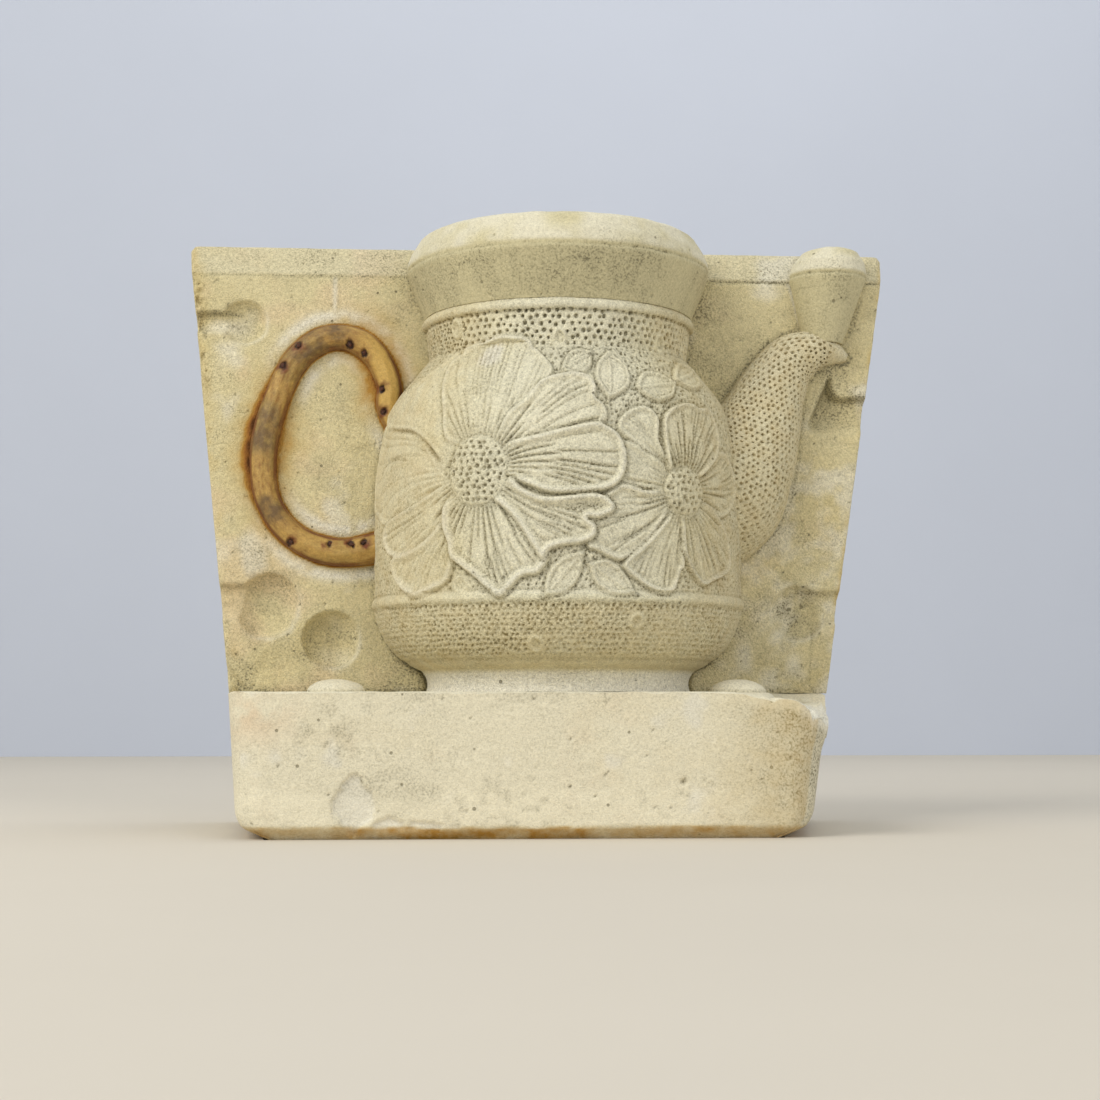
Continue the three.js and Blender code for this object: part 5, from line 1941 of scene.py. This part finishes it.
@dataclass
class KeptNodes:
    """CAD nodes whose shape is right already and that only need their finish."""

    iron: tuple[str, ...] = ("handle_core_wire",)
    wood: tuple[str, ...] = (
        "teapot_dowel_lower", "teapot_dowel_upper", "spare_dowel", "spout_dowel", "sprue_dowel",
    )
    plaster: tuple[str, ...] = ("slab_key_left", "slab_key_right")

    def dress(self, nodes: dict[str, bpy.types.Object], finishes: Finishes) -> None:
        """Give each kept node its finish."""
        plan = ((self.iron, finishes.iron), (self.wood, finishes.dowel), (self.plaster, finishes.slab))
        for names, material in plan:
            for name in names:
                mesh = nodes[name].data
                mesh.materials.clear()
                mesh.materials.append(material)
                LOG.info("%s: kept, finished with %s", name, material.name)


# ---------------------------------------------------------------- studio


@dataclass
class Studio:
    """The pale bench and wall, the camera and the soft light."""

    eye: tuple[float, float, float] = (-0.0619, -0.9149, 0.055)
    turn_deg: float = 4.0
    tilt_rise: float = 0.079
    lens_mm: float = 65.45
    bench_back: float = 1.4
    sky: tuple[float, float, float, float] = (0.86, 0.92, 1.0, 1)
    sky_strength: float = 0.50
    sensor_mm: float = 36.0
    wall_colour: tuple[float, float, float] = (0.58, 0.61, 0.68)
    bench_colour: tuple[float, float, float] = (0.66, 0.60, 0.50)

    def build(self) -> None:
        """Build the bench, the wall, the camera and the lights."""
        self._backdrop()
        self._camera()
        self._lights()

    def _sheet(self, name: str, size: tuple[float, float], matrix: Matrix, colour: tuple) -> None:
        """Add one flat sheet of the backdrop."""
        bm = bmesh.new()
        bmesh.ops.create_grid(bm, x_segments=1, y_segments=1, size=1.0)
        bmesh.ops.scale(bm, vec=(size[0] / 2, size[1] / 2, 1), verts=bm.verts)
        bmesh.ops.transform(bm, matrix=matrix, verts=bm.verts)
        mesh = bpy.data.meshes.new(name)
        bm.to_mesh(mesh)
        bm.free()
        material, web, shader, here = start_material(name + "_paint")
        tone = web.spread(web.noise(here, 3.0, 4.0), 0.3, 0.7, 0.985, 1.015)
        painted = web.shade(colour, tone)
        web.tree.links.new(painted, shader.inputs["Base Color"])
        shader.inputs["Roughness"].default_value = 0.9
        shader.inputs["Specular IOR Level"].default_value = 0.1
        mesh.materials.append(material)
        sheet = bpy.data.objects.new(name, mesh)
        bpy.context.scene.collection.objects.link(sheet)

    def _backdrop(self) -> None:
        """Add the bench top and the wall behind it."""
        floor = Matrix.Translation((0, self.bench_back - 2.2, 0))
        self._sheet("bench_top", (7.0, 4.4), floor, self.bench_colour)
        wall = Matrix.Translation((0, self.bench_back, 1.4)) @ Matrix.Rotation(math.pi / 2, 4, "X")
        self._sheet("wall", (7.0, 2.8), wall, self.wall_colour)

    def _camera(self) -> None:
        """Add the camera, level and looking slightly up from low in front."""
        data = bpy.data.cameras.new("camera")
        camera = bpy.data.objects.new("camera", data)
        bpy.context.scene.collection.objects.link(camera)
        data.sensor_width = self.sensor_mm
        data.lens = self.lens_mm
        data.clip_start = 0.05
        turn, rise = math.radians(self.turn_deg), math.atan(self.tilt_rise)
        ahead = Vector((math.sin(turn) * math.cos(rise), math.cos(turn) * math.cos(rise), math.sin(rise)))
        right = Vector((math.cos(turn), -math.sin(turn), 0.0))
        pose = Matrix((right, right.cross(ahead), -ahead)).transposed().to_4x4()
        pose.translation = Vector(self.eye)
        camera.matrix_world = pose
        bpy.context.scene.camera = camera

    def _lights(self) -> None:
        """Add the sky and the soft lamps."""
        world = bpy.data.worlds.new("room")
        bpy.context.scene.world = world
        world.use_nodes = True
        world.node_tree.nodes["Background"].inputs["Color"].default_value = self.sky
        world.node_tree.nodes["Background"].inputs["Strength"].default_value = self.sky_strength
        lamps = (
            ("window", (-1.25, -1.0, 1.2), 1.1, 22.0, (1.0, 0.98, 0.94)),
            ("fill", (1.2, -1.7, 0.8), 1.6, 13.0, (1.0, 0.97, 0.93)),
            ("wall_wash", (0.35, 0.45, 1.9), 1.4, 12.0, (0.95, 0.97, 1.0)),
        )
        aims = {"wall_wash": Vector((0.0, 1.4, 0.55))}
        for name, place_at, size, power, colour in lamps:
            light = bpy.data.lights.new(name, "AREA")
            light.energy = power
            light.size = size
            light.color = colour
            lamp = bpy.data.objects.new(name, light)
            bpy.context.scene.collection.objects.link(lamp)
            lamp.location = place_at
            aim = aims.get(name, Vector((0.0, 0.0, 0.14)))
            lamp.rotation_euler = (aim - lamp.location).to_track_quat("-Z", "Y").to_euler()


def main() -> None:
    """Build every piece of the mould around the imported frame."""
    logging.basicConfig(level=logging.INFO, format="%(name)s: %(message)s")
    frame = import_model()
    bpy.context.scene.view_settings.view_transform = "Standard"
    datum = Datum.from_frame()
    finishes = Finishes.build()
    outlines = CaseOutlines.build()
    BaseBlock(datum).build(finishes)
    BaseNatches(datum).build(finishes)
    BackSlab(datum, outlines).build(finishes)
    Teapot(datum, outlines, FloralRelief()).build(finishes)
    HalfCone(
        datum, "pouring_spare_body", "pouring_spare", middle=0.0, wall=outlines.spare_wall, columns=330,
        cell=0.6, seed=301, seam=1.0,
    ).build(finishes.spare)
    HalfCone(
        datum, "spout_sprue_body", "spout_sprue", middle=outlines.sprue_x, wall=outlines.sprue_wall,
        columns=120, cell=0.5, seed=331, seam=0.7, edge_soft=1.2, lean=0.09,
    ).build(finishes.spare)
    Spout(datum, outlines).build(finishes)
    HandleForm(datum, outlines).build(finishes)
    Brads(datum).build(finishes)
    KeptNodes().dress(frame["nodes"], finishes)
    Studio().build()


if __name__ == "__main__":
    main()
